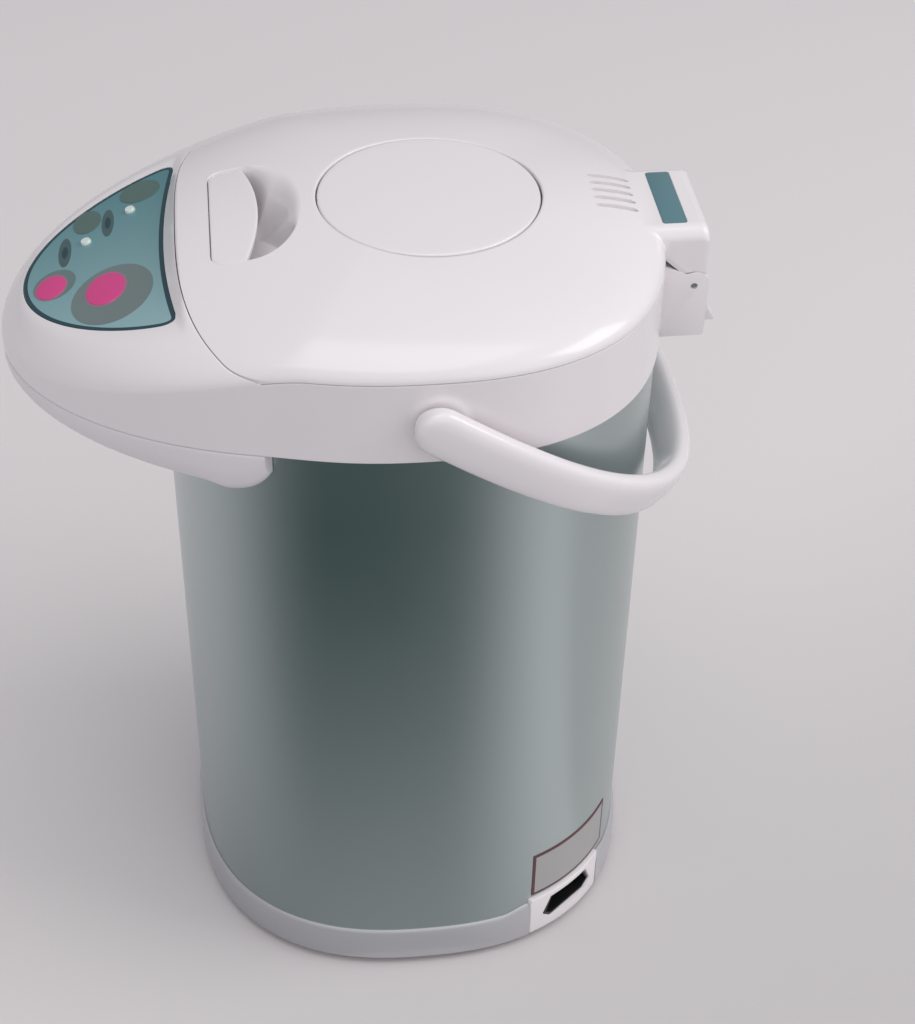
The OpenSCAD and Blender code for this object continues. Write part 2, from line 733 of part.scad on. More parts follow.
seal_t = 2;
mouth_t = 2.5;
mouth_r = tank_r - 2;
mouth_wall = 3;
deck_z = collar_z + 25.9;
deck_top = deck_z + mouth_t;
upstand_h = 6.5;
upstand_x = 60;
upstand_in = 0.6;
upstand_out = 2.6;

function around(f, n = plan_pts) = [for (i = [0 : n - 1]) let (p = 360 * i / n) f(p) * [cos(p), sin(p)]];

module collar() {
    inside = around(function (p) min(lid_r(p) + seam_gap + eps, house_r(p, cover_t + 1)), skin_dirs);
    under_lid = around(function (p)
        let (seam = lid_r(p) + seam_gap + eps) seam < house_r(p) ? seam : house_r(p, cover_t + 1), skin_dirs);
    color("#ece9ea") difference() {
        union() {
            skin([for (i = [0 : skin_dirs - 1]) let (p = 360 * i / skin_dirs)
                in_direction(wall_loop(collar_path(p), cover_t), p)]);
            mirror_x() along_x(half_w - 1, bail_y, bail_z)
                cylinder(h = 1 + fairing_t, r1 = fairing_r, r2 = fairing_r - 1, $fn = small_fn);
        }
        on_panel() translate([0, 0, -12]) linear_extrude(24) polygon(panel_outline(touch));
        translate([0, 0, deck_top]) linear_extrude(crown_z - deck_top) polygon(inside);
        translate([0, 0, seam_z - 2.4]) linear_extrude(crown_h + 2.4) polygon(under_lid);
        mirror_x() along_x(half_w - cover_t - 3, bail_y, bail_z) cylinder(h = 8, r = bail_pin_r + eps, $fn = small_fn);
    }
}

module mouth_ring() {
    deck = around(function (p) min(lid_r(p) + upstand_out, house_r(p, cover_t + rest_gap)));
    color("#efedec") union() {
        translate([0, 0, deck_z]) linear_extrude(mouth_t) difference() {
            polygon(deck);
            circle(r = mouth_r, $fn = round_fn);
        }
        translate([0, 0, deck_top - eps]) linear_extrude(upstand_h + eps) intersection() {
            difference() {
                polygon(deck);
                polygon(around(function (p) lid_r(p) + upstand_in));
            }
            translate([-upstand_x, -nose_tip]) square([2 * upstand_x, nose_tip]);
        }
        translate([0, 0, flange_z + seal_t]) tube(mouth_r + mouth_wall, mouth_r, deck_z - flange_z - seal_t + eps);
        translate([0, 0, flange_z + seal_t]) tube(flange_r - 0.5, mouth_r, 1.6);
    }
}

catch_w = 14;
catch_h = 2;
module catch_plate() {
    color("#a7aaad") translate([-catch_w, -lid_front - upstand_out + touch, deck_top + upstand_h])
        cube([2 * catch_w, upstand_out - upstand_in - 2 * touch, catch_h]);
}

// The spout cover hangs from the collar's lower edge and runs back along the sleeve
function chin_y(p) = -house_r(p) * sin(p);
function chin_z(p) =
    let (y = chin_y(p), e = max(chin_back_y + chin_end_r - y, 0) / chin_end_r)
    collar_z - max((collar_z - chin_floor(y)) * sqrt(max(1 - e * e, 0)), chin_min);
function chin_loop(p, t) =
    let (big = house_r(p) - t, top = collar_z - seam_gap + (t > 0 ? 1 : 0), low = chin_z(p) + t,
        stop = body_r(p, sleeve_a) - chin_lip,
        rx = min(chin_round, big + t - stop - chin_lip) - t,
        rz = min(chin_round, (collar_z - seam_gap - chin_z(p)) * 0.75) - t)
    concat(
        [[stop, low]],
        [for (i = [0 : chin_steps]) let (a = 90 * i / chin_steps)
            [big - rx + rx * sin(a), low + rz - rz * cos(a)]],
        [[big, top], [stop, top]]);
module chin_body(turn, dirs, t) {
    skin([for (i = [0 : dirs]) let (p = -90 - turn + 2 * turn * i / dirs) in_direction(chin_loop(p, t), p)], false);
}

chin_turn = 90 - asin(chin_back_y / body_r(34, half_w));
chin_hollow_turn = chin_turn - 7;
module spout_cover() {
    color("#e4e2e4") difference() {
        chin_body(chin_turn, chin_dirs, 0);
        chin_body(chin_hollow_turn, chin_dirs - 6, chin_t);
        translate([0, -spout_y, chin_z(-90) - 5])
            cylinder(h = chin_t + 20, r = pipe_r + 0.5 + eps + nozzle_wall + touch, $fn = small_fn);
        translate([0, 0, collar_z - 2 * chin_h]) linear_extrude(2 * chin_h + 1) body_outline(sleeve_a + rest_gap);
    }
}

// ---- Control panel ----
corner_x = 51.8;
corner_u = 0.07;
corner_steps = 5;
outline_n = 1.5;
edge_steps = 12;
side_steps = 20;
function panel_side(u) = [panel_w * sqrt(1 - pow(u, outline_n)), -u * panel_l];
function panel_back(x) = [x, panel_edge(x) / cos(panel_tilt)];
function curve(a, b, c, t) = (1 - t) * (1 - t) * a + 2 * t * (1 - t) * b + t * t * c;
function panel_outline(grow) =
    let (k = 1 + grow / panel_w,
        back = [for (i = [0 : edge_steps]) panel_back(corner_x * (2 * i / edge_steps - 1))],
        side = [for (i = [0 : side_steps]) panel_side(corner_u + (1 - corner_u) * sin(90 * i / side_steps))],
        corner = [for (i = [1 : corner_steps - 1])
            curve(back[edge_steps], panel_back(panel_w), side[0], i / corner_steps)],
        right = concat(corner, side))
    concat([for (q = back) q + [0, grow]], [for (q = right) q * k],
        [for (i = [len(right) - 2 : -1 : 0]) [-right[i][0], right[i][1]] * k]);

// Key and lamp places on the panel's plane: centre, then half-sizes
dispense_at = [20.4, -26.5];
dispense_size = [10.4, 7.9];
unlock_at = [7.8, -49.2];
unlock_size = [7.7, 6.1];
reboil_at = [-43.9, -13];
reboil_size = [7.6, 8.6];
warm_at = [-32.4, -35.3];
warm_size = [8.1, 5.9];
keys = [[dispense_at, dispense_size], [unlock_at, unlock_size], [reboil_at, reboil_size], [warm_at, warm_size]];
lamps = [[-17.6, -35.4], [-31.5, -17]];
oval_pts = 32;
board_drop = 9;
key_base = overlay_t + carrier_t + 0.4;
switch_w = 6;
function oval(size, grow = 0) = [for (i = [0 : oval_pts - 1])
    let (a = 360 * i / oval_pts) [(size[0] + grow) * cos(a), (size[1] + grow) * sin(a)]];
board_outline = [[-47, -6], [44, -6], [44, -20], [22, -53], [-23, -52], [-41, -34], [-47, -18]];
panel_posts = [[38, -10], [-20, -10], [18, -41], [-12, -46]];

module panel_holes(depth) {
    for (k = keys) translate([k[0][0], k[0][1], -depth]) linear_extrude(2 * depth) polygon(oval(k[1], key_gap));
    for (c = lamps) translate([c[0], c[1], -depth]) cylinder(h = 2 * depth, r = lens_r + key_gap, $fn = small_fn);
}

module panel_carrier() {
    color("#dcdfdf") on_panel() difference() {
        union() {
            translate([0, 0, -overlay_t - carrier_t]) linear_extrude(carrier_t) polygon(panel_outline(0));
            for (c = panel_posts) translate([c[0], c[1], -board_drop])
                cylinder(h = board_drop - overlay_t - eps, r = 2.2, $fn = small_fn);
        }
        panel_holes(board_drop + 2);
    }
}

module panel_overlay() {
    color("#5f8c92") on_panel() difference() {
        translate([0, 0, -overlay_t]) linear_extrude(overlay_t) polygon(panel_outline(0));
        panel_holes(board_drop);
    }
}

module panel_board() {
    color("#2f6b4a") on_panel() translate([0, 0, -board_drop - board_t]) linear_extrude(board_t) polygon(board_outline);
    color("#2b2c2e") on_panel() for (k = keys) translate([k[0][0] - switch_w / 2, k[0][1] - switch_w / 2, -board_drop])
        cube([switch_w, switch_w, board_drop - key_base - key_travel - rest_gap]);
}

module key(at, size, tint) {
    color(tint) on_panel() translate([at[0], at[1], -key_base])
        linear_extrude(key_base + key_proud) polygon(oval(size));
}
module dispense_key() { key(dispense_at, dispense_size, "#d64b8c"); }
module unlock_key() { key(unlock_at, unlock_size, "#d64b8c"); }
module reboil_key() { key(reboil_at, reboil_size, "#6f7f78"); }
module warm_key() { key(warm_at, warm_size, "#6f7f78"); }

module indicator_lenses() {
    color("#dfe6e0") on_panel() for (c = lamps) translate([c[0], c[1], -board_drop]) union() {
        cylinder(h = board_drop, r = lens_r, $fn = small_fn);
        translate([0, 0, board_drop]) intersection() {
            sphere(r = lens_r, $fn = small_fn);
            cylinder(h = 1.2, r = lens_r, $fn = small_fn);
        }
    }
}

// ---- Hinge ----
bracket_back = hinge_y + 5.8;
bracket_z = collar_z - 2.6;
cheek_gap = 0.4;
bracket_wall = 4;
block_gap = 0.4;
block_back = hinge_y + 4.6;
slit = 1.4;
release_z = collar_z + 9.5;
release_y = hinge_y + 3;
release_r = 1.5;
release_w = 13.5;
tab_w = 22;
tab_out = 4.1;

// Side outline of the bracket's cheek, in [y, z] from the hinge pin
function arc(r, from, to, n = 10) = [for (i = [0 : n]) let (a = from + (to - from) * i / n) r * [cos(a), sin(a)]];
cheek_front = half_w - 6 - hinge_y;
cheek_outline = concat([[cheek_front, bracket_z - hinge_z], [5.8, bracket_z - hinge_z]],
    arc(hinge_round, 25, 118), [[cheek_front, 13 - slit]]);
block_outline = concat([[4.6, tail_z - hinge_z - 3], [4.6 - 3, tail_z - hinge_z], [cheek_front, tail_z - hinge_z],
    [cheek_front, 13]], reversed(arc(hinge_round + block_gap, 48, 118)));

module side_prism(outline, x, w) {
    translate([x, hinge_y, hinge_z]) rotate([90, 0, 90]) linear_extrude(w) polygon(outline);
}

module hinge_bracket() {
    color("#e9e6e7") difference() {
        union() {
            mirror_x() side_prism(cheek_outline, lug_w + cheek_gap, tail_w - lug_w - cheek_gap);
            translate([-tail_w, half_w - 6, bracket_z]) cube([2 * tail_w, 6 + bracket_wall, hinge_z - 3 - bracket_z]);
            translate([-tail_w, half_w - 6, bracket_z]) cube([2 * tail_w, bracket_back - half_w + 6, 2.5]);
        }
        along_x(-tail_w - eps, hinge_y, hinge_z) cylinder(h = 2 * tail_w + 2 * eps, r = hinge_pin_r, $fn = small_fn);
        mirror_x() along_x(lug_w, release_y, release_z) cylinder(h = 3, r = release_r + run_fit, $fn = small_fn);
        translate([0, 0, bracket_z - 1]) linear_extrude(tail_z - bracket_z) body_outline(half_w + touch);
    }
}

module hinge_pin() {
    color("#b4b7ba") along_x(-tail_w + 1, hinge_y, hinge_z) cylinder(h = 2 * tail_w - 2, r = hinge_pin_r, $fn = small_fn);
}

module lid_release() {
    color("#e3e0e1") union() {
        along_x(-lug_w - 2, release_y, release_z) cylinder(h = 2 * lug_w + 4, r = release_r, $fn = small_fn);
        translate([-release_w, release_y - 2.2, release_z - 7]) cube([2 * release_w, 4.8, 9.6]);
        translate([-tab_w, bracket_back + rest_gap, release_z - 7]) rotate([90, 0, 90]) linear_extrude(2 * tab_w)
            polygon([[0, 0], [tab_out, 0], [0.8, 5.5], [0, 5.5]]);
        translate([-release_w, bracket_back - 1, release_z - 7]) cube([2 * release_w, 2, 5]);
    }
}

// ---- Lid ----
module lid_opening(grow) {
    polygon(concat(
        [for (a = [180 : 15 : 270]) [-latch_w + 6 - grow, -latch_front + 6 - grow] + 6 * [cos(a), sin(a)]],
        [for (a = [270 : 15 : 360]) [latch_w - 6 + grow, -latch_front + 6 - grow] + 6 * [cos(a), sin(a)]],
        [for (a = [0 : 10 : 180]) [(latch_w + grow + 1) * cos(a), -64 + (64 - well_back + grow) * sin(a)]]));
}

edge_ease = 1.9;
function lid_point(p, q) =
    let (e = lid_r(p) * [cos(p), sin(p)], d = [0, press_y] + (press_r + press_gap) * [cos(p), sin(p)],
        h = e + (d - e) * pow(q, edge_ease))
    [h[0], h[1], skin_z(h[0], h[1])];
function lid_loop(p) =
    let (top = [for (i = [0 : lid_steps]) lid_point(p, i / lid_steps)],
        e = [top[0][0], top[0][1]], dir = ([top[lid_steps][0], top[lid_steps][1]] - e),
        u = dir / norm(dir),
        flat = [for (t = top) [([t[0], t[1]] - e) * u, t[2]]],
        low = inset_path([for (f = flat) [-f[0], f[1]]], cover_t),
        under = [for (f = low) [e[0] - f[0] * u[0], e[1] - f[0] * u[1], max(f[1], wall_z(p))]])
    concat(top, reversed(under));

lid_boss_at = [[62, 56], [-62, 56], [60, -58], [-60, -58]];
lid_boss_r = 4;
liner_gap = 0.5;
liner_t = 2.5;
liner_in = 7.6;
liner_z = deck_top + liner_gap;
liner_top = liner_z + liner_t;
cup_r = mouth_r - 3;
cup_wall = 2;
cup_z = collar_z + 12.9;
cup_floor = 2;
cup_top = cup_z + cup_floor;
boss_bite = 0.85;
vent_y = half_w - 19;

module lid_cover() {
    color("#ece9ea") difference() {
        union() {
            skin([for (i = [0 : skin_dirs - 1]) lid_loop(360 * i / skin_dirs)]);
            for (c = lid_boss_at) translate([c[0], c[1], liner_top])
                cylinder(h = skin_z(c[0], c[1]) - boss_bite * cover_t - liner_top, r = lid_boss_r, $fn = small_fn);
        }
        translate([0, 0, liner_top + 2]) linear_extrude(40) lid_opening(seam_gap);
        for (i = [0 : vent_n - 1]) translate([(i - (vent_n - 1) / 2) * vent_pitch - vent_w / 2, vent_y - vent_l / 2, liner_top + 3])
            cube([vent_w, vent_l, 30]);
        for (c = lid_boss_at) translate([c[0], c[1], liner_top - eps])
            cylinder(h = 9, r = screw_r, $fn = small_fn);
    }
}

badge_w = 19.3;
badge_d = 9.8;
badge_t = 0.5;
module lid_tail() {
    color("#ece9ea") difference() {
        union() {
            side_prism(block_outline, -tail_w, 2 * tail_w);
            translate([-lug_w, 0, 0]) side_prism(concat(arc(hinge_round - 0.2, 180, 360),
                [[4.6 - 0.6, 8], [-hinge_round + 0.2, 10]]), 0, 2 * lug_w);
        }
        along_x(-tail_w, hinge_y, hinge_z) cylinder(h = 2 * tail_w, r = hinge_pin_r + run_fit, $fn = small_fn);
        translate([-badge_w - touch, half_w + 1.8 - touch, tail_z - badge_t])
            cube([2 * (badge_w + touch), badge_d + 2 * touch, 2]);
        translate([0, 0, collar_z]) linear_extrude(tail_z + 1 - collar_z) body_outline(half_w + touch);
    }
}

module tail_badge() {
    color("#5b858b") translate([-badge_w, half_w + 1.8, tail_z - badge_t]) cube([2 * badge_w, badge_d, badge_t]);
}

module lid_liner() {
    color("#f0eeec") difference() {
        union() {
            translate([0, 0, liner_z]) linear_extrude(liner_t) polygon(around(function (p) lid_r(p) - liner_in));
            translate([0, 0, cup_z]) cylinder(h = liner_z - cup_z + eps, r = cup_r, $fn = round_fn);
            translate([0, 0, cup_z - 1]) cylinder(h = 1 + eps, r = cup_r + 1, $fn = round_fn);
        }
        translate([0, 0, cup_top]) cylinder(h = 30, r = cup_r - cup_wall, $fn = round_fn);
        translate([0, press_y, cup_z - 2]) cylinder(h = 10, r = valve_r + eps, $fn = small_fn);
        for (c = lid_boss_at) translate([c[0], c[1], liner_z - eps]) {
            cylinder(h = liner_t + 2 * eps, r = screw_r + touch, $fn = small_fn);
            cylinder(h = 1.4 + eps, r = screw_head_r + touch, $fn = small_fn);
        }
    }
}

gasket_h = 3;
module lid_gasket() {
    color("#c9c5bf") translate([0, 0, cup_z + eps]) tube(mouth_r - 0.6, cup_r + eps, gasket_h);
}

module lid_screws() {
    color("#9fa2a6") for (c = lid_boss_at) translate([c[0], c[1], liner_z]) union() {
        cylinder(h = 1.4, r = screw_head_r, $fn = small_fn);
        cylinder(h = liner_t + 7, r = screw_r, $fn = small_fn);
    }
}

baffle_w = 34;
baffle_l = 19;
baffle_h = 7.5;
baffle_t = 1.2;
module steam_baffle() {
    color("#e6e4e2") translate([-baffle_w / 2, vent_y - baffle_l / 2, liner_top]) difference() {
        cube([baffle_w, baffle_l, baffle_h]);
        translate([baffle_t, baffle_t, baffle_t]) cube([baffle_w - 2 * baffle_t, baffle_l - 2 * baffle_t, baffle_h]);
    }
}

// ---- Latch ----
latch_pin_y = -latch_front + 2.5;
latch_pin_z = collar_z + 44.9;
latch_tilt = 7;
latch_t = 2.6;
barrel_r = 2.2;
ear_w = 1.8;
ear_x = 26;
well_t = 1.6;
well_z = liner_top + 0.4;
well_top = collar_z + 43.3;
well_slope = 6.7;
bolt_z = well_z + well_t + 1.4;
bolt_t = 4;
bolt_w = 11;
finger_w = 3;

module finger_well() {
    color("#e2dfdf") union() {
        difference() {
            translate([0, 0, well_z]) linear_extrude(well_top - well_z + 10) lid_opening(seam_gap + well_t);
            translate([0, 0, well_z + well_t]) linear_extrude(30) lid_opening(seam_gap);
            translate([-60, -latch_front - 3, well_top]) rotate([well_slope, 0, 0]) translate([0, -10, 0])
                cube([120, 80, 30]);
            translate([-bolt_w - touch, -lid_front, bolt_z - touch])
                cube([2 * (bolt_w + touch), lid_front - latch_front + 6, bolt_t + 2 * touch]);
        }
        mirror_x() difference() {
            translate([ear_x, latch_pin_y - 2, well_z + eps]) cube([ear_w, 4, latch_pin_z + 1.6 - well_z - eps]);
            along_x(ear_x - 1, latch_pin_y, latch_pin_z) cylinder(h = ear_w + 2, r = latch_pin_r + eps, $fn = small_fn);
        }
    }
}

module latch_pin() {
    color("#b4b7ba") along_x(-ear_x - ear_w, latch_pin_y, latch_pin_z)
        cylinder(h = 2 * (ear_x + ear_w), r = latch_pin_r, $fn = small_fn);
}

function latch_edge(x) = -latch_back - 5.4 * pow(x / latch_w, 2);
module latch_lever() {
    plate = concat([[-latch_w, latch_pin_y + 3.4], [latch_w, latch_pin_y + 3.4]],
        [for (i = [0 : 12]) let (x = latch_w * (1 - i / 6)) [x, latch_edge(x)]]);
    color("#e8e5e6") difference() {
        union() {
            translate([0, latch_pin_y, latch_pin_z]) rotate([latch_tilt, 0, 0])
                translate([0, -latch_pin_y, barrel_r - latch_t]) linear_extrude(latch_t) union() {
                    polygon(plate);
                    translate([-ear_x + 0.5, latch_pin_y]) square([2 * ear_x - 1, 4]);
                }
            along_x(-ear_x + 0.5, latch_pin_y, latch_pin_z) cylinder(h = 2 * ear_x - 1, r = barrel_r, $fn = small_fn);
            translate([-finger_w, latch_pin_y - 1, bolt_z + 1]) cube([2 * finger_w, 2, latch_pin_z - bolt_z - 1]);
        }
        along_x(-ear_x, latch_pin_y, latch_pin_z) cylinder(h = 2 * ear_x, r = latch_pin_r + run_fit, $fn = small_fn);
    }
}

finger_play = 5.2;
module latch_bolt() {
    color("#d7d4d4") difference() {
        translate([-bolt_w, -lid_front - touch, bolt_z]) cube([2 * bolt_w, lid_front + latch_pin_y + 8, bolt_t]);
        translate([-finger_w - 0.6, latch_pin_y - finger_play, bolt_z - eps])
            cube([2 * finger_w + 1.2, 2 * finger_play, bolt_t + 2 * eps]);
    }
}

// ---- Press pump ----
guide_t = 1.9;
disc_t = 2.5;
disc_dome = 1.1;
disc_round = 0.8;
dome_steps = 6;
skirt_h = 14;
valve_r = 8;
spring_r = 15;
spring_wire = 1;
spring_turns = 6;
spring_sides = 6;
turn_steps = 14;
bellows_r = 38;
bellows_fold = 6;
bellows_n = 5;
bellows_t = 1;

module at_press() { translate([0, press_y, 0]) children(); }

module press_guide() {
    color("#e6e4e2") at_press() translate([0, 0, cup_top])
        tube(press_r + press_gap + guide_t, press_r + press_gap, crown_z - 6 - cup_top);
}

module press_disc() {
    r = press_r;
    dome = [for (i = [0 : dome_steps]) let (x = (r - disc_round) * (1 - i / dome_steps))
        [x, press_z + disc_dome * (1 - pow(x / r, 2))]];
    color("#ebe8e9") at_press() rotate_extrude($fn = round_fn) polygon(concat([[0, press_z - disc_t],
        [r - 2, press_z - disc_t], [r - 2, press_z - skirt_h], [r, press_z - skirt_h], [r, press_z - disc_round]], dome));
}

module press_spring() {
    low = cup_top + spring_wire + eps;
    high = press_z - disc_t - spring_wire - eps;
    rings = spring_turns * turn_steps;
    color("#b0b3b6") at_press() skin([for (i = [0 : rings]) let (a = 360 * i / turn_steps, z = low + (high - low) * i / rings)
        [for (j = [0 : spring_sides - 1]) let (b = 360 * j / spring_sides, r = spring_r + spring_wire * cos(b))
            [r * cos(a), r * sin(a), z + spring_wire * sin(b)]]], false);
}

module pump_bellows() {
    low = cup_top;
    step = (press_z - disc_t - cup_top) / (2 * bellows_n);
    outer = [for (i = [0 : 2 * bellows_n]) [bellows_r - (i % 2 == 0 ? bellows_fold : 0), low + step * i]];
    color("#8b8e90") at_press() rotate_extrude($fn = round_fn)
        polygon(concat(outer, reversed([for (q = outer) q - [bellows_t, 0]])));
}

module air_valve() {
    color("#a8abad") at_press() translate([0, 0, cup_z - 4]) union() {
        cylinder(h = cup_floor + 6, r = valve_r, $fn = small_fn);
        translate([0, 0, cup_floor + 4]) cylinder(h = 2, r = valve_r + 3, $fn = small_fn);
    }
}

// ---- Handle ----
bail_n = 2.6;
band_n = 3.5;
bail_in = bail_w - bail_t / 2;
pin_head_r = 7;

function signed_pow(v, n) = sign(v) * pow(abs(v), n);
function bail_point(a) = [bail_w * signed_pow(cos(a), 2 / bail_n), bail_l * pow(sin(a), 2 / bail_n)];
function bail_out(a) = let (d = bail_point(min(a + 0.5, 180)) - bail_point(max(a - 0.5, 0))) [d[1], -d[0]] / norm(d);
function band(a) =
    let (c = bail_point(a), o = a == 0 ? [1, 0] : a == 180 ? [-1, 0] : bail_out(a))
    [for (j = [0 : bail_sides - 1]) let (b = 360 * j / bail_sides,
        u = bail_t / 2 * signed_pow(cos(b), 2 / band_n), v = bail_h / 2 * signed_pow(sin(b), 2 / band_n))
        [c[0] + o[0] * u, c[1] + o[1] * u, v]];

module bail_handle() {
    color("#e9e6e8") difference() {
        translate([0, bail_y, bail_z]) rotate([-bail_rest, 0, 0]) union() {
            skin([for (i = [0 : bail_rings]) band(180 * i / bail_rings)], false);
            mirror_x() along_x(bail_in, 0, 0) cylinder(h = bail_t, r = bail_h / 2, $fn = small_fn);
        }
        mirror_x() along_x(bail_in - eps, bail_y, bail_z)
            cylinder(h = bail_t - 1.5, r = bail_pin_r + run_fit, $fn = small_fn);
    }
}

module bail_pins() {
    color("#a9acaf") mirror_x() union() {
        along_x(half_w - cover_t - 3, bail_y, bail_z)
            cylinder(h = bail_in + bail_t - 2 - half_w + cover_t + 3, r = bail_pin_r, $fn = small_fn);
        along_x(half_w - cover_t - 3.2, bail_y, bail_z) cylinder(h = 3, r = pin_head_r, $fn = small_fn);
    }
}

swivel_base();
swivel_feet();
glide_ring();
pivot_bolt();
base_ring();
bottom_plate();
base_screws();
outer_sleeve();
rating_label();
inlet_housing();
inlet_socket();
inlet_pins();
power_board();
board_parts();
tank_stand();
inner_tank();
tank_seal();
heater();
thermal_controls();
pump_motor();
pump_housing();
impeller();
hoses();
level_tube();
level_window();
collar();
mouth_ring();
catch_plate();
spout_cover();
spout_pipe();
spout_nozzle();
panel_carrier();
panel_overlay();
panel_board();
indicator_lenses();
dispense_key();
unlock_key();
reboil_key();
warm_key();
hinge_bracket();
hinge_pin();
lid_release();
lid_cover();
lid_tail();
tail_badge();
lid_liner();
lid_gasket();
lid_screws();
steam_baffle();
finger_well();
latch_pin();
latch_lever();
latch_bolt();
press_guide();
press_disc();
press_spring();
pump_bellows();
air_valve();
bail_pins();
bail_handle();
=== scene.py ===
"""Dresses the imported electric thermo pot: smooth shells, printed panel, finishes, studio and camera."""
import json
import logging
import math
from dataclasses import dataclass
from enum import Enum
from typing import Iterable, Sequence

import bmesh
import bpy
import numpy as np
from mathutils import Matrix, Vector


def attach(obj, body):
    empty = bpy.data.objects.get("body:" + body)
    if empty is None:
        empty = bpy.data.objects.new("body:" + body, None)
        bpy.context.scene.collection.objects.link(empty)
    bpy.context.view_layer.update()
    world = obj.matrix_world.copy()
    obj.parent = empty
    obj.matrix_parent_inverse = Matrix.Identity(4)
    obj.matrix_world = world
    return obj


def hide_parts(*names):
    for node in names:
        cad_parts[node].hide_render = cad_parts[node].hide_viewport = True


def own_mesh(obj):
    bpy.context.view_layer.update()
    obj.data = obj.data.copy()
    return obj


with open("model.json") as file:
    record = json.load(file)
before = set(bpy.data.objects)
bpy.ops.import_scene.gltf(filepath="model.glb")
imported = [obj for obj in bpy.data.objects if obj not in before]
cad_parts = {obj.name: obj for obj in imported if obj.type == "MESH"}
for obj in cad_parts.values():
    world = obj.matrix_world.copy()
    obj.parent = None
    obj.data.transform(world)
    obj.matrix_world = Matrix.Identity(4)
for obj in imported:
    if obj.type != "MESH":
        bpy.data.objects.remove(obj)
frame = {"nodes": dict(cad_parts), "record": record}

log = logging.getLogger("thermo_pot")
MM = 0.001
Array = np.ndarray
Span = tuple[float, float]
Point = tuple[float, float, float]
Color = tuple[int, int, int]


class Cut(Enum):
    """How a second solid changes a first one."""

    REMOVE = "DIFFERENCE"
    JOIN = "UNION"


class Slot(Enum):
    """Material slots of the record, by name."""

    SHELL = "white_shell"
    TRIM = "white_trim"
    SLEEVE = "sleeve_metal"
    FILM = "label_film"
    PRINT = "panel_print"
    PINK = "pink_key"
    GREY = "grey_key"
    BADGE = "badge_teal"
    STEEL = "screw_steel"
    RUBBER = "grey_rubber"


# ---------------------------------------------------------------- shape laws


def smooth_max(a: Array, b: Array, k: float) -> Array:
    """The larger of a and b, with a parabola of half-width k where they cross."""
    return np.maximum(a, b) + np.maximum(k - np.abs(a - b), 0.0) ** 2 / (4.0 * k)


def smooth_min(a: Array, b: Array, k: float) -> Array:
    """The smaller of a and b, with a parabola of half-width k where they cross."""
    return -smooth_max(-a, -b, k)


def ease(t: Array) -> Array:
    """Zero below 0, one above 1, and the cubic 3t^2 - 2t^3 between."""
    t = np.clip(t, 0.0, 1.0)
    return t * t * (3.0 - 2.0 * t)


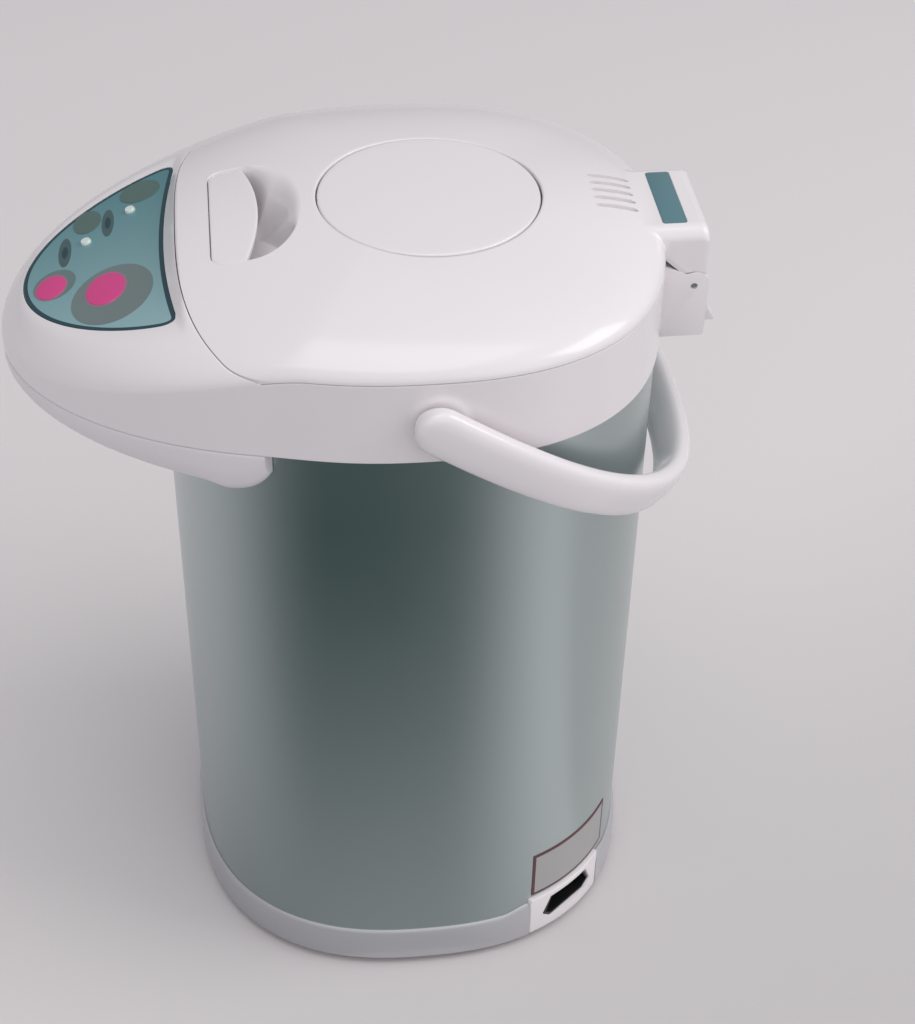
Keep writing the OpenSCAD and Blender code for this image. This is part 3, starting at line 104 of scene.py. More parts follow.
@dataclass(frozen=True)
class PotShape:
    """The laws that the pot's outer surfaces follow, in millimetres, angles in radians."""

    half: float = 100.0
    corner: float = 2.41
    collar_low: float = 293.0
    collar_high: float = 328.4
    crown: float = 347.9
    crown_n: float = 2.0
    rear_fullness: float = 1.1
    rear_spread: float = 10.0
    nose_w: float = 95.0
    nose_l: float = 141.0
    nose_c: float = 20.0
    nose_fall: float = 45.0
    nose_lip: float = 2.0
    fall_ease: float = 0.15
    plan_blend: float = 6.0
    lid_front: float = 90.0
    lid_corner: float = 108.0
    lid_n: float = 3.0
    tail_w: float = 25.0
    tail_top: float = 339.9
    tail_back: float = 115.9
    tail_round: float = 5.5
    tail_end_round: float = 3.5
    tail_corner: float = 2.0
    ridge_blend: float = 2.0
    ridge_slope: float = 4.0
    ridge_end: float = 0.8
    ridge_inset: float = 6.0
    ridge_fade: float = 0.05
    far: float = 400.0
    hinge_y: float = 111.4
    hinge_z: float = 313.9
    panel_y: float = -92.0
    panel_z: float = 330.9
    panel_tilt: float = math.radians(16.7)
    panel_w: float = 57.0
    panel_l: float = 61.0
    panel_dip: float = 3.2
    panel_bow: float = 5.3
    panel_n: float = 1.5
    corner_x: float = 51.8
    corner_u: float = 0.07
    riser_slope: float = 1.8
    riser_ease: float = 1.5
    pivot_y: float = 2.0
    pivot_z: float = 311.3

    @property
    def tip(self) -> float:
        """Distance of the nose's tip in front of the axis."""
        return self.nose_c + self.nose_l

    def body(self, p: Array, a: float) -> Array:
        """Rounded square: a over the n-norm of the direction's cosine and sine."""
        n = self.corner
        return a / (np.abs(np.cos(p)) ** n + np.abs(np.sin(p)) ** n) ** (1.0 / n)

    def nose(self, p: Array) -> Array:
        """Distance from the axis to an ellipse whose centre lies nose_c in front of it."""
        c, s = np.cos(p), np.sin(p)
        qa = (c / self.nose_w) ** 2 + (s / self.nose_l) ** 2
        qb = 2.0 * s * self.nose_c / self.nose_l**2
        qc = (self.nose_c / self.nose_l) ** 2 - 1.0
        return (-qb + np.sqrt(qb * qb - 4.0 * qa * qc)) / (2.0 * qa)

    def house(self, p: Array) -> Array:
        """Plan of the upper housing: the body, blended with the nose's ellipse in front."""
        body = self.body(p, self.half)
        return np.where(np.sin(p) < 0, smooth_max(body, self.nose(p), self.plan_blend), body)

    def lid(self, p: Array) -> Array:
        """Plan of the lid: the housing cut off by a rounded front edge."""
        c, s = np.abs(np.cos(p)), np.abs(np.sin(p))
        n = self.lid_n
        front = 1.0 / ((c / self.lid_corner) ** n + (s / self.lid_front) ** n) ** (1.0 / n)
        house = self.house(p)
        return np.where(np.sin(p) < 0, smooth_min(house, front, self.plan_blend), house)

    def tail(self, p: Array) -> Array:
        """Plan of the lid's tail: a rectangle behind the axis with a rounded corner."""
        s, c = np.maximum(np.sin(p), 1e-3), np.maximum(np.abs(np.cos(p)), 1e-6)
        side = np.where(np.sin(p) > 0.5, self.tail_w / c, 0.0)
        return smooth_min(self.tail_back / s, np.minimum(side, self.far), self.tail_corner)

    def wall_top(self, p: Array) -> Array:
        """Top of the upright wall: level round the body and falling along the nose."""
        t = np.clip((-self.house(p) * np.sin(p) - self.nose_fall) / (self.tip - self.nose_fall), 0, 1)
        fall = self.collar_high - self.collar_low - self.nose_lip
        return self.collar_high - fall * t * t * (1 + self.fall_ease) / (t + self.fall_ease)

    def cap(self, x: Array, y: Array) -> Array:
        """Crown: wall top plus the crown's rise times (1 - rho^n)^(1/n), fuller over the tail."""
        p = np.arctan2(y, x)
        rho = np.clip(np.hypot(x, y) / self.house(p), 0, 1)
        low = self.wall_top(p)
        n = self.crown_n + self.rear_fullness * np.maximum(np.sin(p), 0) ** self.rear_spread
        return low + (self.crown - low) * np.maximum(1 - rho**n, 0) ** (1 / n)

    def ridge(self, x: Array, y: Array) -> Array:
        """Top of the tail: level, with quarter-round sides and back, fading forward."""
        r = self.tail_round
        e = np.maximum(np.abs(x) - self.tail_w + r, 0.0)
        drop = np.where(e < r, r - np.sqrt(np.maximum(r * r - e * e, 0)), r + (e - r) * self.ridge_slope)
        q = self.tail_end_round
        b = np.clip(y - self.tail_back + q, 0.0, q)
        back = q - np.sqrt(np.maximum(q**2 - b * b, 0.0))
        f = np.maximum(self.half - self.ridge_inset - y, 0.0)
        return self.tail_top - drop - self.ridge_end * back - self.ridge_fade * f * f

    def panel_edge(self, x: Array) -> Array:
        """Rear edge of the panel, measured from panel_y: a shallow hollow curve."""
        return -self.panel_dip + self.panel_bow * (x / self.panel_w) ** 2

    def top(self, x: Array, y: Array) -> Array:
        """Top of lid and housing: crown and ridge, cut by the panel's plane and its riser."""
        plane = self.panel_z + math.tan(self.panel_tilt) * (y - self.panel_y)
        t = np.maximum(0.0, y - self.panel_y - self.panel_edge(x))
        riser = self.riser_slope * t * t / (t + self.riser_ease)
        crown = smooth_max(self.cap(x, y), self.ridge(x, y), self.ridge_blend)
        return smooth_min(crown, plane + riser, self.riser_ease)

    def panel_back(self, x: Array) -> Array:
        """Points of the panel's rear edge on its own plane."""
        return np.stack([x, self.panel_edge(x) / math.cos(self.panel_tilt)], -1)

    def panel_outline(self, grow: float, count: int = 40) -> Array:
        """Panel's outline on its plane: rear curve, a rounded corner, (x/w)^2 + (y/l)^n = 1 in front."""
        rear = self.panel_back(self.corner_x * (2.0 * np.linspace(0, 1, count) - 1.0))
        u = self.corner_u + (1 - self.corner_u) * np.sin(np.linspace(0, math.pi / 2, count))
        side = np.stack([self.panel_w * np.sqrt(np.maximum(1 - u**self.panel_n, 0)), -u * self.panel_l], 1)
        t = np.linspace(0, 1, 12)[1:-1, None]
        tip = self.panel_back(np.array(self.panel_w))
        corner = (1 - t) ** 2 * rear[-1] + 2 * t * (1 - t) * tip + t**2 * side[0]
        right = np.concatenate([corner, side]) * (1.0 + grow / self.panel_w)
        left = right[:-1][::-1] * np.array([-1.0, 1.0])
        return np.concatenate([rear + np.array([0.0, grow]), right, left])

    def on_panel(self, x: Array, y: Array, h: Array) -> Array:
        """Points x across, y up the slope and h above the panel's plane, in the row frame."""
        c, s = math.cos(self.panel_tilt), math.sin(self.panel_tilt)
        x, y, h = np.broadcast_arrays(x, y, h)
        return np.stack([x, self.panel_y + y * c - h * s, self.panel_z + y * s + h * c], -1)


SHAPE = PotShape()

# ---------------------------------------------------------------- mesh tools


def grid_faces(u: int, v: int, close_u: bool, close_v: bool) -> Array:
    """Quads that join a u by v grid of points, wrapped round where it closes."""
    i, j = np.meshgrid(np.arange(u if close_u else u - 1), np.arange(v if close_v else v - 1), indexing="ij")
    i2, j2 = (i + 1) % u, (j + 1) % v
    return np.stack([i * v + j, i2 * v + j, i2 * v + j2, i * v + j2], -1).reshape(-1, 4)


def make_object(name: str, points: Array, faces: Iterable[Sequence[int]],
                closed: bool = True) -> bpy.types.Object:
    """A mesh object at the origin from points in millimetres.

    Args:
        name: the piece's name.
        points: any array whose last axis is x, y, z.
        faces: point numbers of each face.
        closed: merges doubles and turns faces outward when true.
    Returns:
        The new object.
    """
    mesh = bpy.data.meshes.new(name)
    mesh.from_pydata((points.reshape(-1, 3) * MM).tolist(), [], [list(map(int, f)) for f in faces])
    if closed:
        work = bmesh.new()
        work.from_mesh(mesh)
        bmesh.ops.remove_doubles(work, verts=work.verts, dist=2e-6)
        bmesh.ops.dissolve_degenerate(work, edges=work.edges, dist=1e-7)
        bmesh.ops.recalc_face_normals(work, faces=work.faces)
        work.to_mesh(mesh)
        work.free()
    obj = bpy.data.objects.new(name, mesh)
    bpy.context.scene.collection.objects.link(obj)
    return obj


def skin(name: str, loops: Array, closed: bool = True) -> bpy.types.Object:
    """A solid through equal closed loops: joined end to start, or with flat end caps."""
    u, v = loops.shape[:2]
    faces = grid_faces(u, v, closed, True).tolist()
    if not closed:
        faces += [list(range(v - 1, -1, -1)), [(u - 1) * v + j for j in range(v)]]
    return make_object(name, loops, faces)


def wrap(name: str, grid: Array) -> bpy.types.Object:
    """A solid from spokes of points, closed all round; each spoke starts and ends in a shared point or loop."""
    return make_object(name, grid, grid_faces(grid.shape[0], grid.shape[1], True, False))


def prism(name: str, outline: Array, low: float, high: float) -> bpy.types.Object:
    """A straight prism over a plan outline, from height low to height high."""
    return skin(name, np.stack([raised(outline, z) for z in (low, high)]), closed=False)


def side_prism(name: str, outline: Array, half: float, shift: float = 0.0) -> bpy.types.Object:
    """A prism over a [y, z] outline, from shift - half to shift + half along x."""
    ends = [np.column_stack([np.full(len(outline), x), outline]) for x in (shift - half, shift + half)]
    return skin(name, np.stack(ends), closed=False)


def side_box(name: str, y: Span, z: Span, half: float, shift: float = 0.0) -> bpy.types.Object:
    """A box over a range of y and one of z, from shift - half to shift + half along x."""
    outline = np.array([[y[0], z[0]], [y[1], z[0]], [y[1], z[1]], [y[0], z[1]]])
    return side_prism(name, outline, half, shift)


def full_turn(count: int) -> Array:
    """Angles of a full turn, evenly spaced, from 0."""
    return np.linspace(0, 2 * math.pi, count, endpoint=False)


def polar(r: Array, p: Array, z: Array, y: float = 0.0) -> Array:
    """Points at reach r, direction p and height z about the upright axis at y."""
    return np.stack(np.broadcast_arrays(r * np.cos(p), y + r * np.sin(p), z), -1)


def raised(plan: Array, z: Array) -> Array:
    """Plan points with their heights."""
    return np.concatenate([plan, np.broadcast_to(z, plan.shape[:-1])[..., None]], -1)


def shrunk(rim: Array, mid: Array, shares: Sequence[float]) -> Array:
    """Copies of a rim about mid, [rim, share, 2], at each share of its size."""
    return mid + (rim[:, None, :] - mid) * np.asarray(shares)[None, :, None]


def bake_modifiers(obj: bpy.types.Object) -> bpy.types.Object:
    """Turns the object's live modifiers into its mesh."""
    bpy.context.view_layer.update()
    done = bpy.data.meshes.new_from_object(obj.evaluated_get(bpy.context.evaluated_depsgraph_get()))
    old, obj.data = obj.data, done
    obj.modifiers.clear()
    bpy.data.meshes.remove(old)
    return obj


def thicken(obj: bpy.types.Object, depth: float) -> bpy.types.Object:
    """Gives a sheet a thickness in millimetres, inward."""
    step = obj.modifiers.new("wall", "SOLIDIFY")
    step.thickness, step.offset = depth * MM, -1.0
    return bake_modifiers(obj)


def combine(target: bpy.types.Object, others: Sequence[bpy.types.Object],
            how: Cut = Cut.REMOVE) -> bpy.types.Object:
    """Cuts other solids out of a target, or joins them to it, and deletes them."""
    for other in others:
        step = target.modifiers.new("combine", "BOOLEAN")
        step.operation, step.object, step.solver = how.value, other, "EXACT"
    bake_modifiers(target)
    for other in others:
        bpy.data.objects.remove(other, do_unlink=True)
    return target


def bevel(obj: bpy.types.Object, width: float, segments: int = 3, angle: float = 35.0) -> bpy.types.Object:
    """Rounds every edge sharper than angle degrees to width millimetres."""
    step = obj.modifiers.new("bevel", "BEVEL")
    step.width, step.segments, step.limit_method = width * MM, segments, "ANGLE"
    step.angle_limit = math.radians(angle)
    return bake_modifiers(obj)


def arc(cy: float, cz: float, r: float, start: float, end: float, n: int = 12) -> Array:
    """Points on a circle about (cy, cz), from start to end degrees."""
    a = np.radians(np.linspace(start, end, n))
    return np.stack([cy + r * np.cos(a), cz + r * np.sin(a)], 1)


def resample(curve: Array, count: int) -> Array:
    """A closed curve's points, spaced evenly by its length."""
    ring = np.concatenate([curve, curve[:1]])
    s = np.concatenate([[0], np.cumsum(np.linalg.norm(np.diff(ring, axis=0), axis=1))])
    t = np.linspace(0, s[-1], count, endpoint=False)
    return np.stack([np.interp(t, s, ring[:, k]) for k in range(curve.shape[1])], 1)


def settle(obj: bpy.types.Object, body: str, material: bpy.types.Material | None = None,
           replaces: Sequence[str] = (), crease: float = 32.0) -> bpy.types.Object:
    """Smooths a finished piece, dresses it and lets it ride on its body.

    Args:
        obj: the piece.
        body: the body it moves with.
        material: its material, if its faces have none yet.
        replaces: CAD nodes it stands for.
        crease: edges sharper than this many degrees stay sharp.
    Returns:
        The same object.
    """
    mesh = obj.data
    if material is not None:
        mesh.materials.clear()
        mesh.materials.append(material)
    mesh.polygons.foreach_set("use_smooth", np.ones(len(mesh.polygons), bool))
    mesh.set_sharp_from_angle(angle=math.radians(crease))
    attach(obj, body)
    if replaces:
        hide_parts(*replaces)
    log.info("%s rides on %s", obj.name, body)
    return obj


# ---------------------------------------------------------------- finishes

MIX_A, MIX_B, MIX_OUT = 6, 7, 2
GRAIN_DEPTH = 0.0003
SHADER = "Principled BSDF"


def srgb(r: int, g: int, b: int) -> tuple[float, float, float, float]:
    """A screen colour as linear light."""
    c = np.array([r, g, b]) / 255.0
    lin = np.where(c <= 0.04045, c / 12.92, ((c + 0.055) / 1.055) ** 2.4)
    return (*map(float, lin), 1.0)


def add_nodes(tree: bpy.types.NodeTree, *kinds: str) -> list[bpy.types.Node]:
    """New shader nodes, by the last part of their type's name."""
    return [tree.nodes.new("ShaderNode" + kind) for kind in kinds]


def fill(node: bpy.types.Node, values: dict[str | int, object]) -> None:
    """Sets a node's inputs by name or number."""
    for key, value in values.items():
        node.inputs[key].default_value = value


def wire(tree: bpy.types.NodeTree, *runs: tuple[bpy.types.Node, str | int, bpy.types.Node, str | int]) -> None:
    """Links outputs to inputs: each run is a node, its output, the next node and its input."""
    for source, out, target, into in runs:
        tree.links.new(source.outputs[out], target.inputs[into])


def ramp(tree: bpy.types.NodeTree, source: bpy.types.Node, out: str | int, span: Span,
         values: Span = (0.0, 1.0), law: str = "LINEAR") -> bpy.types.Node:
    """A node whose Result goes from one value to the other while a source's output crosses a span."""
    node = add_nodes(tree, "MapRange")[0]
    node.interpolation_type = law
    fill(node, dict(zip(("From Min", "From Max", "To Min", "To Max"), map(float, (*span, *values)))))
    wire(tree, (source, out, node, "Value"))
    return node


def color_mix(tree: bpy.types.NodeTree, first: Color = (0, 0, 0), second: Color = (0, 0, 0)) -> bpy.types.Node:
    """A node that mixes the colours on its inputs MIX_A and MIX_B into its output MIX_OUT."""
    mix = add_nodes(tree, "Mix")[0]
    mix.data_type = "RGBA"
    fill(mix, {MIX_A: srgb(*first), MIX_B: srgb(*second)})
    return mix


def new_group(name: str, inputs: dict[str, str],
              outputs: dict[str, str]) -> tuple[bpy.types.NodeTree, bpy.types.Node, bpy.types.Node]:
    """An empty shader group with named sockets, and its input and output nodes."""
    tree = bpy.data.node_groups.new(name, "ShaderNodeTree")
    for side, sockets in (("INPUT", inputs), ("OUTPUT", outputs)):
        for label, kind in sockets.items():
            tree.interface.new_socket(name=label, in_out=side, socket_type="NodeSocket" + kind)
    return tree, tree.nodes.new("NodeGroupInput"), tree.nodes.new("NodeGroupOutput")


def micro_surface() -> bpy.types.NodeTree:
    """Group: fine moulding grain as a height, and a roughness that drifts slowly."""
    tree, gin, gout = new_group("micro_surface", {"Scale": "Float", "Roughness": "Float", "Drift": "Float"},
                                {"Height": "Float", "Roughness": "Float"})
    where, fine, slow = add_nodes(tree, "TexCoord", "TexNoise", "TexNoise")
    centred, scaled, total = add_nodes(tree, "Math", "Math", "Math")
    centred.operation, scaled.operation, total.operation = "SUBTRACT", "MULTIPLY", "ADD"
    fill(slow, {"Scale": 22.0, "Detail": 3.0})
    fill(centred, {1: 0.5})
    wire(tree, (where, "Object", fine, "Vector"), (where, "Object", slow, "Vector"),
         (gin, "Scale", fine, "Scale"), (slow, "Fac", centred, 0), (centred, 0, scaled, 0),
         (gin, "Drift", scaled, 1), (scaled, 0, total, 0), (gin, "Roughness", total, 1),
         (fine, "Fac", gout, "Height"), (total, 0, gout, "Roughness"))
    return tree


def tint_drift() -> bpy.types.NodeTree:
    """Group: mixes two near colours by slow noise, so that no finish is one flat colour."""
    tree, gin, gout = new_group("tint_drift", {"Color": "Color", "Other": "Color", "Scale": "Float"},
                                {"Color": "Color"})
    where, noise = add_nodes(tree, "TexCoord", "TexNoise")
    mix = color_mix(tree)
    fill(noise, {"Detail": 2.0})
    wire(tree, (where, "Object", noise, "Vector"), (gin, "Scale", noise, "Scale"),
         (noise, "Fac", mix, "Factor"), (gin, "Color", mix, MIX_A), (gin, "Other", mix, MIX_B),
         (mix, MIX_OUT, gout, "Color"))
    return tree


MICRO, TINT = micro_surface(), tint_drift()


@dataclass(frozen=True)
class Finish:
    """One maker's finish, as numbers for the shader."""

    name: str
    color: Color
    other: Color
    rough: float = 0.3
    drift: float = 0.06
    metallic: float = 0.0
    coat: float = 0.0
    coat_rough: float = 0.08
    grain: float = 900.0
    bump: float = 0.02
    transmission: float = 0.0
    ior: float = 1.46
    tint_scale: float = 9.0

    def build(self) -> bpy.types.Material:
        """The finish as a material: tint and micro surface from the groups, the rest on the shader."""
        mat = bpy.data.materials.new(self.name)
        mat.use_nodes = True
        tree = mat.node_tree
        shader = tree.nodes[SHADER]
        tint, micro, bump = add_nodes(tree, "Group", "Group", "Bump")
        tint.node_tree, micro.node_tree = TINT, MICRO
        fill(tint, {"Color": srgb(*self.color), "Other": srgb(*self.other), "Scale": self.tint_scale})
        fill(micro, {"Scale": self.grain, "Roughness": self.rough, "Drift": self.drift})
        fill(bump, {"Strength": self.bump, "Distance": GRAIN_DEPTH})
        fill(shader, {"Metallic": self.metallic, "Coat Weight": self.coat, "Coat Roughness": self.coat_rough,
                      "IOR": self.ior, "Transmission Weight": self.transmission})
        wire(tree, (tint, "Color", shader, "Base Color"), (micro, "Roughness", shader, "Roughness"),
             (micro, "Height", bump, "Height"), (bump, "Normal", shader, "Normal"))
        return mat


class Paints:
    """Every finish of the pot, built once."""

    def __init__(self) -> None:
        """Builds the finishes by name."""
        finishes = (
            Finish("glossy_white", (236, 231, 233), (232, 226, 229), 0.2, 0.04, coat=0.35, coat_rough=0.1),
            Finish("trim_white", (229, 225, 228), (224, 219, 223), 0.3, 0.05, coat=0.15),
            Finish("base_silver", (200, 199, 203), (194, 194, 198), 0.32, 0.05, metallic=0.5, coat=0.15),
            Finish("sleeve_paint", (188, 199, 198), (181, 193, 192), 0.3, 0.04, metallic=1.0,
                   grain=2400.0, bump=0.05, coat=0.1, coat_rough=0.25, tint_scale=4.0),
            Finish("label_film", (172, 170, 170), (165, 163, 164), 0.4, 0.05),
            Finish("label_frame", (98, 52, 58), (88, 46, 52), 0.4, 0.05),
            Finish("black_plastic", (16, 17, 18), (24, 25, 27), 0.4, 0.1),
            Finish("pin_brass", (200, 172, 104), (186, 156, 92), 0.3, 0.1, metallic=1.0),
            Finish("board_green", (38, 98, 66), (30, 84, 58), 0.45, 0.1),
            Finish("dark_parts", (52, 54, 60), (66, 68, 74), 0.5, 0.1),
            Finish("stainless", (190, 194, 196), (176, 180, 182), 0.3, 0.08, metallic=1.0,
                   grain=3000.0, bump=0.04),
            Finish("cast_aluminium", (168, 170, 172), (154, 156, 158), 0.42, 0.1, metallic=1.0),
            Finish("ceramic", (214, 206, 190), (204, 196, 180), 0.6, 0.1),
            Finish("motor_can", (140, 144, 148), (126, 130, 134), 0.35, 0.1, metallic=1.0),
            Finish("inner_white", (226, 224, 217), (218, 216, 208), 0.42, 0.08),
            Finish("impeller_amber", (206, 156, 66), (194, 144, 58), 0.35, 0.08),
            Finish("silicone", (198, 192, 182), (188, 182, 172), 0.55, 0.1),
            Finish("grey_rubber", (74, 74, 76), (64, 64, 66), 0.7, 0.1, grain=500.0, bump=0.1),
            Finish("clear_window", (220, 230, 232), (214, 226, 229), 0.08, 0.02, transmission=0.9, bump=0.0),
            Finish("panel_border", (36, 70, 80), (31, 64, 73), 0.28, 0.04, coat=0.2),
            Finish("print_grey", (117, 130, 130), (110, 124, 124), 0.33, 0.04),
            Finish("print_mid", (107, 127, 127), (101, 121, 122), 0.33, 0.04),
            Finish("print_dark", (78, 100, 102), (70, 92, 95), 0.33, 0.04),
            Finish("print_ring", (160, 120, 140), (150, 112, 134), 0.33, 0.04),
            Finish("key_pink", (219, 74, 141), (212, 66, 134), 0.3, 0.05, coat=0.2),
            Finish("key_green", (90, 113, 109), (84, 107, 103), 0.33, 0.05),
            Finish("lens_white", (222, 232, 228), (214, 226, 222), 0.12, 0.03, coat=0.5),
            Finish("badge_teal", (92, 128, 136), (82, 120, 130), 0.3, 0.05, coat=0.2),
            Finish("screw_steel", (158, 162, 166), (146, 150, 154), 0.32, 0.1, metallic=1.0),
        )
        self.by_name: dict[str, bpy.types.Material] = {f.name: f.build() for f in finishes}
        self.by_name["panel_print"] = self.panel_print()

    def __getitem__(self, name: str) -> bpy.types.Material:
        """The material of that name."""
        return self.by_name[name]

    def panel_print(self) -> bpy.types.Material:
        """The panel's teal, darker at -x and lighter at +x, mixed by its Object coordinates."""
        mat = Finish("panel_print", (96, 142, 148), (90, 136, 143), 0.3, 0.04, coat=0.25).build()
        tree = mat.node_tree
        tint = next(k for k in tree.nodes if k.type == "GROUP" and k.node_tree == TINT)
        where, split = add_nodes(tree, "TexCoord", "SeparateXYZ")
        across = ramp(tree, split, "X", (-0.052, 0.056))
        mix, join = color_mix(tree, (78, 126, 133), (158, 190, 196)), color_mix(tree)
        fill(join, {"Factor": 0.25})
        wire(tree, (where, "Object", split, 0), (across, "Result", mix, "Factor"), (mix, MIX_OUT, join, MIX_A),
             (tint, "Color", join, MIX_B), (join, MIX_OUT, tree.nodes[SHADER], "Base Color"))
        return mat


# Finishes of the record's slots whose names differ; the others bear their slot's name.
CAD_FINISH = {
    "white_shell": "glossy_white", "white_trim": "trim_white", "sleeve_metal": "sleeve_paint",
    "brass_pins": "pin_brass", "circuit_board": "board_green", "aluminium_plate": "cast_aluminium",
    "inner_plastic": "inner_white", "impeller_plastic": "impeller_amber", "clear_plastic": "clear_window",
    "pink_key": "key_pink", "grey_key": "key_green", "lamp_lens": "lens_white",
}


def dress_cad_nodes(paints: Paints) -> None:
    """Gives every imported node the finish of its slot."""
    slots = {s["node"]: s["material_slot"] for s in frame["record"]["subparts"]}
    for name, obj in frame["nodes"].items():
        obj.data.materials.clear()
        obj.data.materials.append(paints[CAD_FINISH.get(slots[name], slots[name])])


# ---------------------------------------------------------------- sub-assemblies


@dataclass
class LowerBody:
    """Painted sleeve, base ring, power inlet and the bare rating film."""

    paints: Paints
    sleeve_a: float = 99.0
    sleeve_low: float = 18.0
    sleeve_t: float = 1.0
    sleeve_step: float = 0.0131
    base_a: float = 100.9
    ring_profile: tuple[Span, ...] = (
        (97.5, 2.5), (98.8, 2.5), (99.7, 2.9), (100.5, 4.0), (100.9, 5.4), (100.9, 15.0), (100.75, 18.4),
        (100.35, 20.4), (99.8, 21.9), (99.3, 22.5), (99.04, 22.5), (99.04, 18.0), (97.5, 18.0))
    inlet_turn: float = math.radians(39.5)
    inlet_half: float = 22.25
    inlet_low: float = 5.0
    inlet_high: float = 28.0
    inlet_deep: float = 14.0
    inlet_gap: float = 0.12
    inlet_play: float = 0.2
    inlet_lap: float = 0.004
    block_reach: Span = (-24.0, 16.0)
    socket_z: float = 18.0
    socket_w: float = 31.0
    socket_h: float = 13.4
    socket_steps: tuple[Span, ...] = ((-30.0, 1.0), (-2.2, 1.0), (1.5, 1.16), (6.0, 1.16))
    ramp_h: float = 3.0
    ramp_w: float = 12.0
    window_half: float = 5.0
    window_low: float = 70.0
    window_high: float = 250.0
    label: tuple[float, float, float, float] = (28.0, 55.0, 29.5, 56.5)
    label_line: Span = (0.8, 1.5)
    label_lift: float = 0.25
    label_t: float = 0.2

    def inlet_edge(self, side: int, a: float) -> float:
        """Direction in which a line parallel to the inlet's axis leaves the body, found among 4000 sampled
        directions.
        """
        p = self.inlet_turn + side * np.linspace(0.05, 0.5, 4000)
        off = SHAPE.body(p, a) * np.sin(np.abs(p - self.inlet_turn))
        return float(p[np.argmin(np.abs(off - self.inlet_half - self.inlet_play))])

    def sleeve(self) -> None:
        """Sleeve: r(p) = rounded square of half-width a, straight up, with two openings left out."""
        a = self.sleeve_a
        w = math.asin(self.window_half / a)
        marks = [-math.pi / 2 - w, -math.pi / 2 + w, self.inlet_edge(-1, a), self.inlet_edge(1, a)]
        marks.append(marks[0] + 2 * math.pi)
        spans = [np.linspace(start, end, max(4, int((end - start) / self.sleeve_step)), endpoint=False)
                 for start, end in zip(marks, marks[1:])]
        ends = np.cumsum([len(span) for span in spans])
        p = np.concatenate(spans)
        z = np.array([self.sleeve_low, self.inlet_high + self.inlet_play, self.window_low, self.window_high,
                      SHAPE.collar_low])
        faces = grid_faces(len(p), len(z), True, False).reshape(len(p), len(z) - 1, 4)
        keep = np.ones(faces.shape[:2], bool)
        keep[: ends[0], 2] = keep[ends[1]: ends[2], 0] = False
        pts = polar(SHAPE.body(p, a)[:, None], p[:, None], z)
        obj = thicken(make_object("sleeve", pts, faces[keep], closed=False), self.sleeve_t)
        settle(obj, "pot", self.paints["sleeve_paint"], ["outer_sleeve"])

    def at_inlet(self, out: Array, along: Array) -> Array:
        """Plan points by their distance out past the ring's face at the inlet, and along the wall."""
        c, s = math.cos(self.inlet_turn), math.sin(self.inlet_turn)
        out = out + SHAPE.body(self.inlet_turn, self.base_a)
        return np.stack([out * c - along * s, out * s + along * c], -1)

    def base_ring(self) -> None:
        """Base ring: a closed wall profile swept round the rounded square, cut for the inlet.

        Its upper edge rises by ramp_h * (1 - ease(d / ramp_w)), d being the distance to the inlet.
        """
        reach, height = np.array(self.ring_profile).T
        p = full_turn(480)[:, None]
        r = SHAPE.body(p, 1.0) * reach
        beside = np.abs(r[:, :1] * np.sin(p - self.inlet_turn)) - self.inlet_half
        rise = self.ramp_h * (1 - ease(beside / self.ramp_w)) * (np.cos(p - self.inlet_turn) > 0)
        ring = skin("base_ring_shell", polar(r, p, height + rise * (height > self.sleeve_low)))
        h = self.inlet_half + self.inlet_gap
        back, front = self.block_reach
        plan = self.at_inlet(np.array([back, front, front, back]), np.array([-h, -h, h, h]))
        combine(ring, [prism("inlet_block", plan, self.inlet_low - self.inlet_play, self.inlet_high + 1)])
        settle(ring, "pot", self.paints["base_silver"], ["base_ring"])

    def inlet(self) -> None:
        """Inlet frame: the body's plan between two walls, with a six-sided opening."""
        ends = [self.inlet_edge(side, self.base_a) - side * self.inlet_lap for side in (-1, 1)]
        p = np.linspace(*ends, 40)
        outer = polar(SHAPE.body(p, self.base_a), p, 0.0)[:, :2]
        inward = -self.inlet_deep * np.array([math.cos(self.inlet_turn), math.sin(self.inlet_turn)])
        plan = np.concatenate([outer, [outer[-1] + inward, outer[0] + inward]])
        block = bevel(prism("inlet_frame", plan, self.inlet_low, self.inlet_high), 0.6, 3, 50)
        w, h = self.socket_w, self.socket_h
        right = np.array([[w / 2 - h / 3, -h / 2], [w / 2, -h / 5], [w / 2 - h / 3, h / 2]])
        hexagon = np.concatenate([right, right[::-1] * np.array([-1, 1])])
        loops = [raised(self.at_inlet(out, hexagon[:, 0] * grow), hexagon[:, 1] * grow + self.socket_z)
                 for out, grow in self.socket_steps]
        combine(block, [skin("socket_cut", np.stack(loops), closed=False)])
        settle(block, "pot", self.paints["glossy_white"], ["inlet_housing"])

    def film(self) -> None:
        """Rating film: a thin curved sheet on the sleeve, bare, with a coloured frame line."""
        a0, a1, z0, z1 = self.label
        line_a, line_z = self.label_line
        p = np.radians(np.array([a0, *np.linspace(a0 + line_a, a1 - line_a, 24), a1]))
        z = np.array([z0, z0 + line_z, z1 - line_z, z1])
        pts = polar(SHAPE.body(p, self.sleeve_a + self.label_lift)[:, None], p[:, None], z)
        obj = make_object("rating_film", pts, grid_faces(len(p), len(z), False, False), closed=False)
        for paint in ("label_film", "label_frame"):
            obj.data.materials.append(self.paints[paint])
        edge = np.ones((len(p) - 1, len(z) - 1), int)
        edge[1:-1, 1] = 0
        obj.data.polygons.foreach_set("material_index", edge.ravel())
        settle(thicken(obj, self.label_t), "pot", None, ["rating_label"])

    def build(self) -> None:
        """Builds every piece of the lower body."""
        self.sleeve()
        self.base_ring()
        self.inlet()
        self.film()


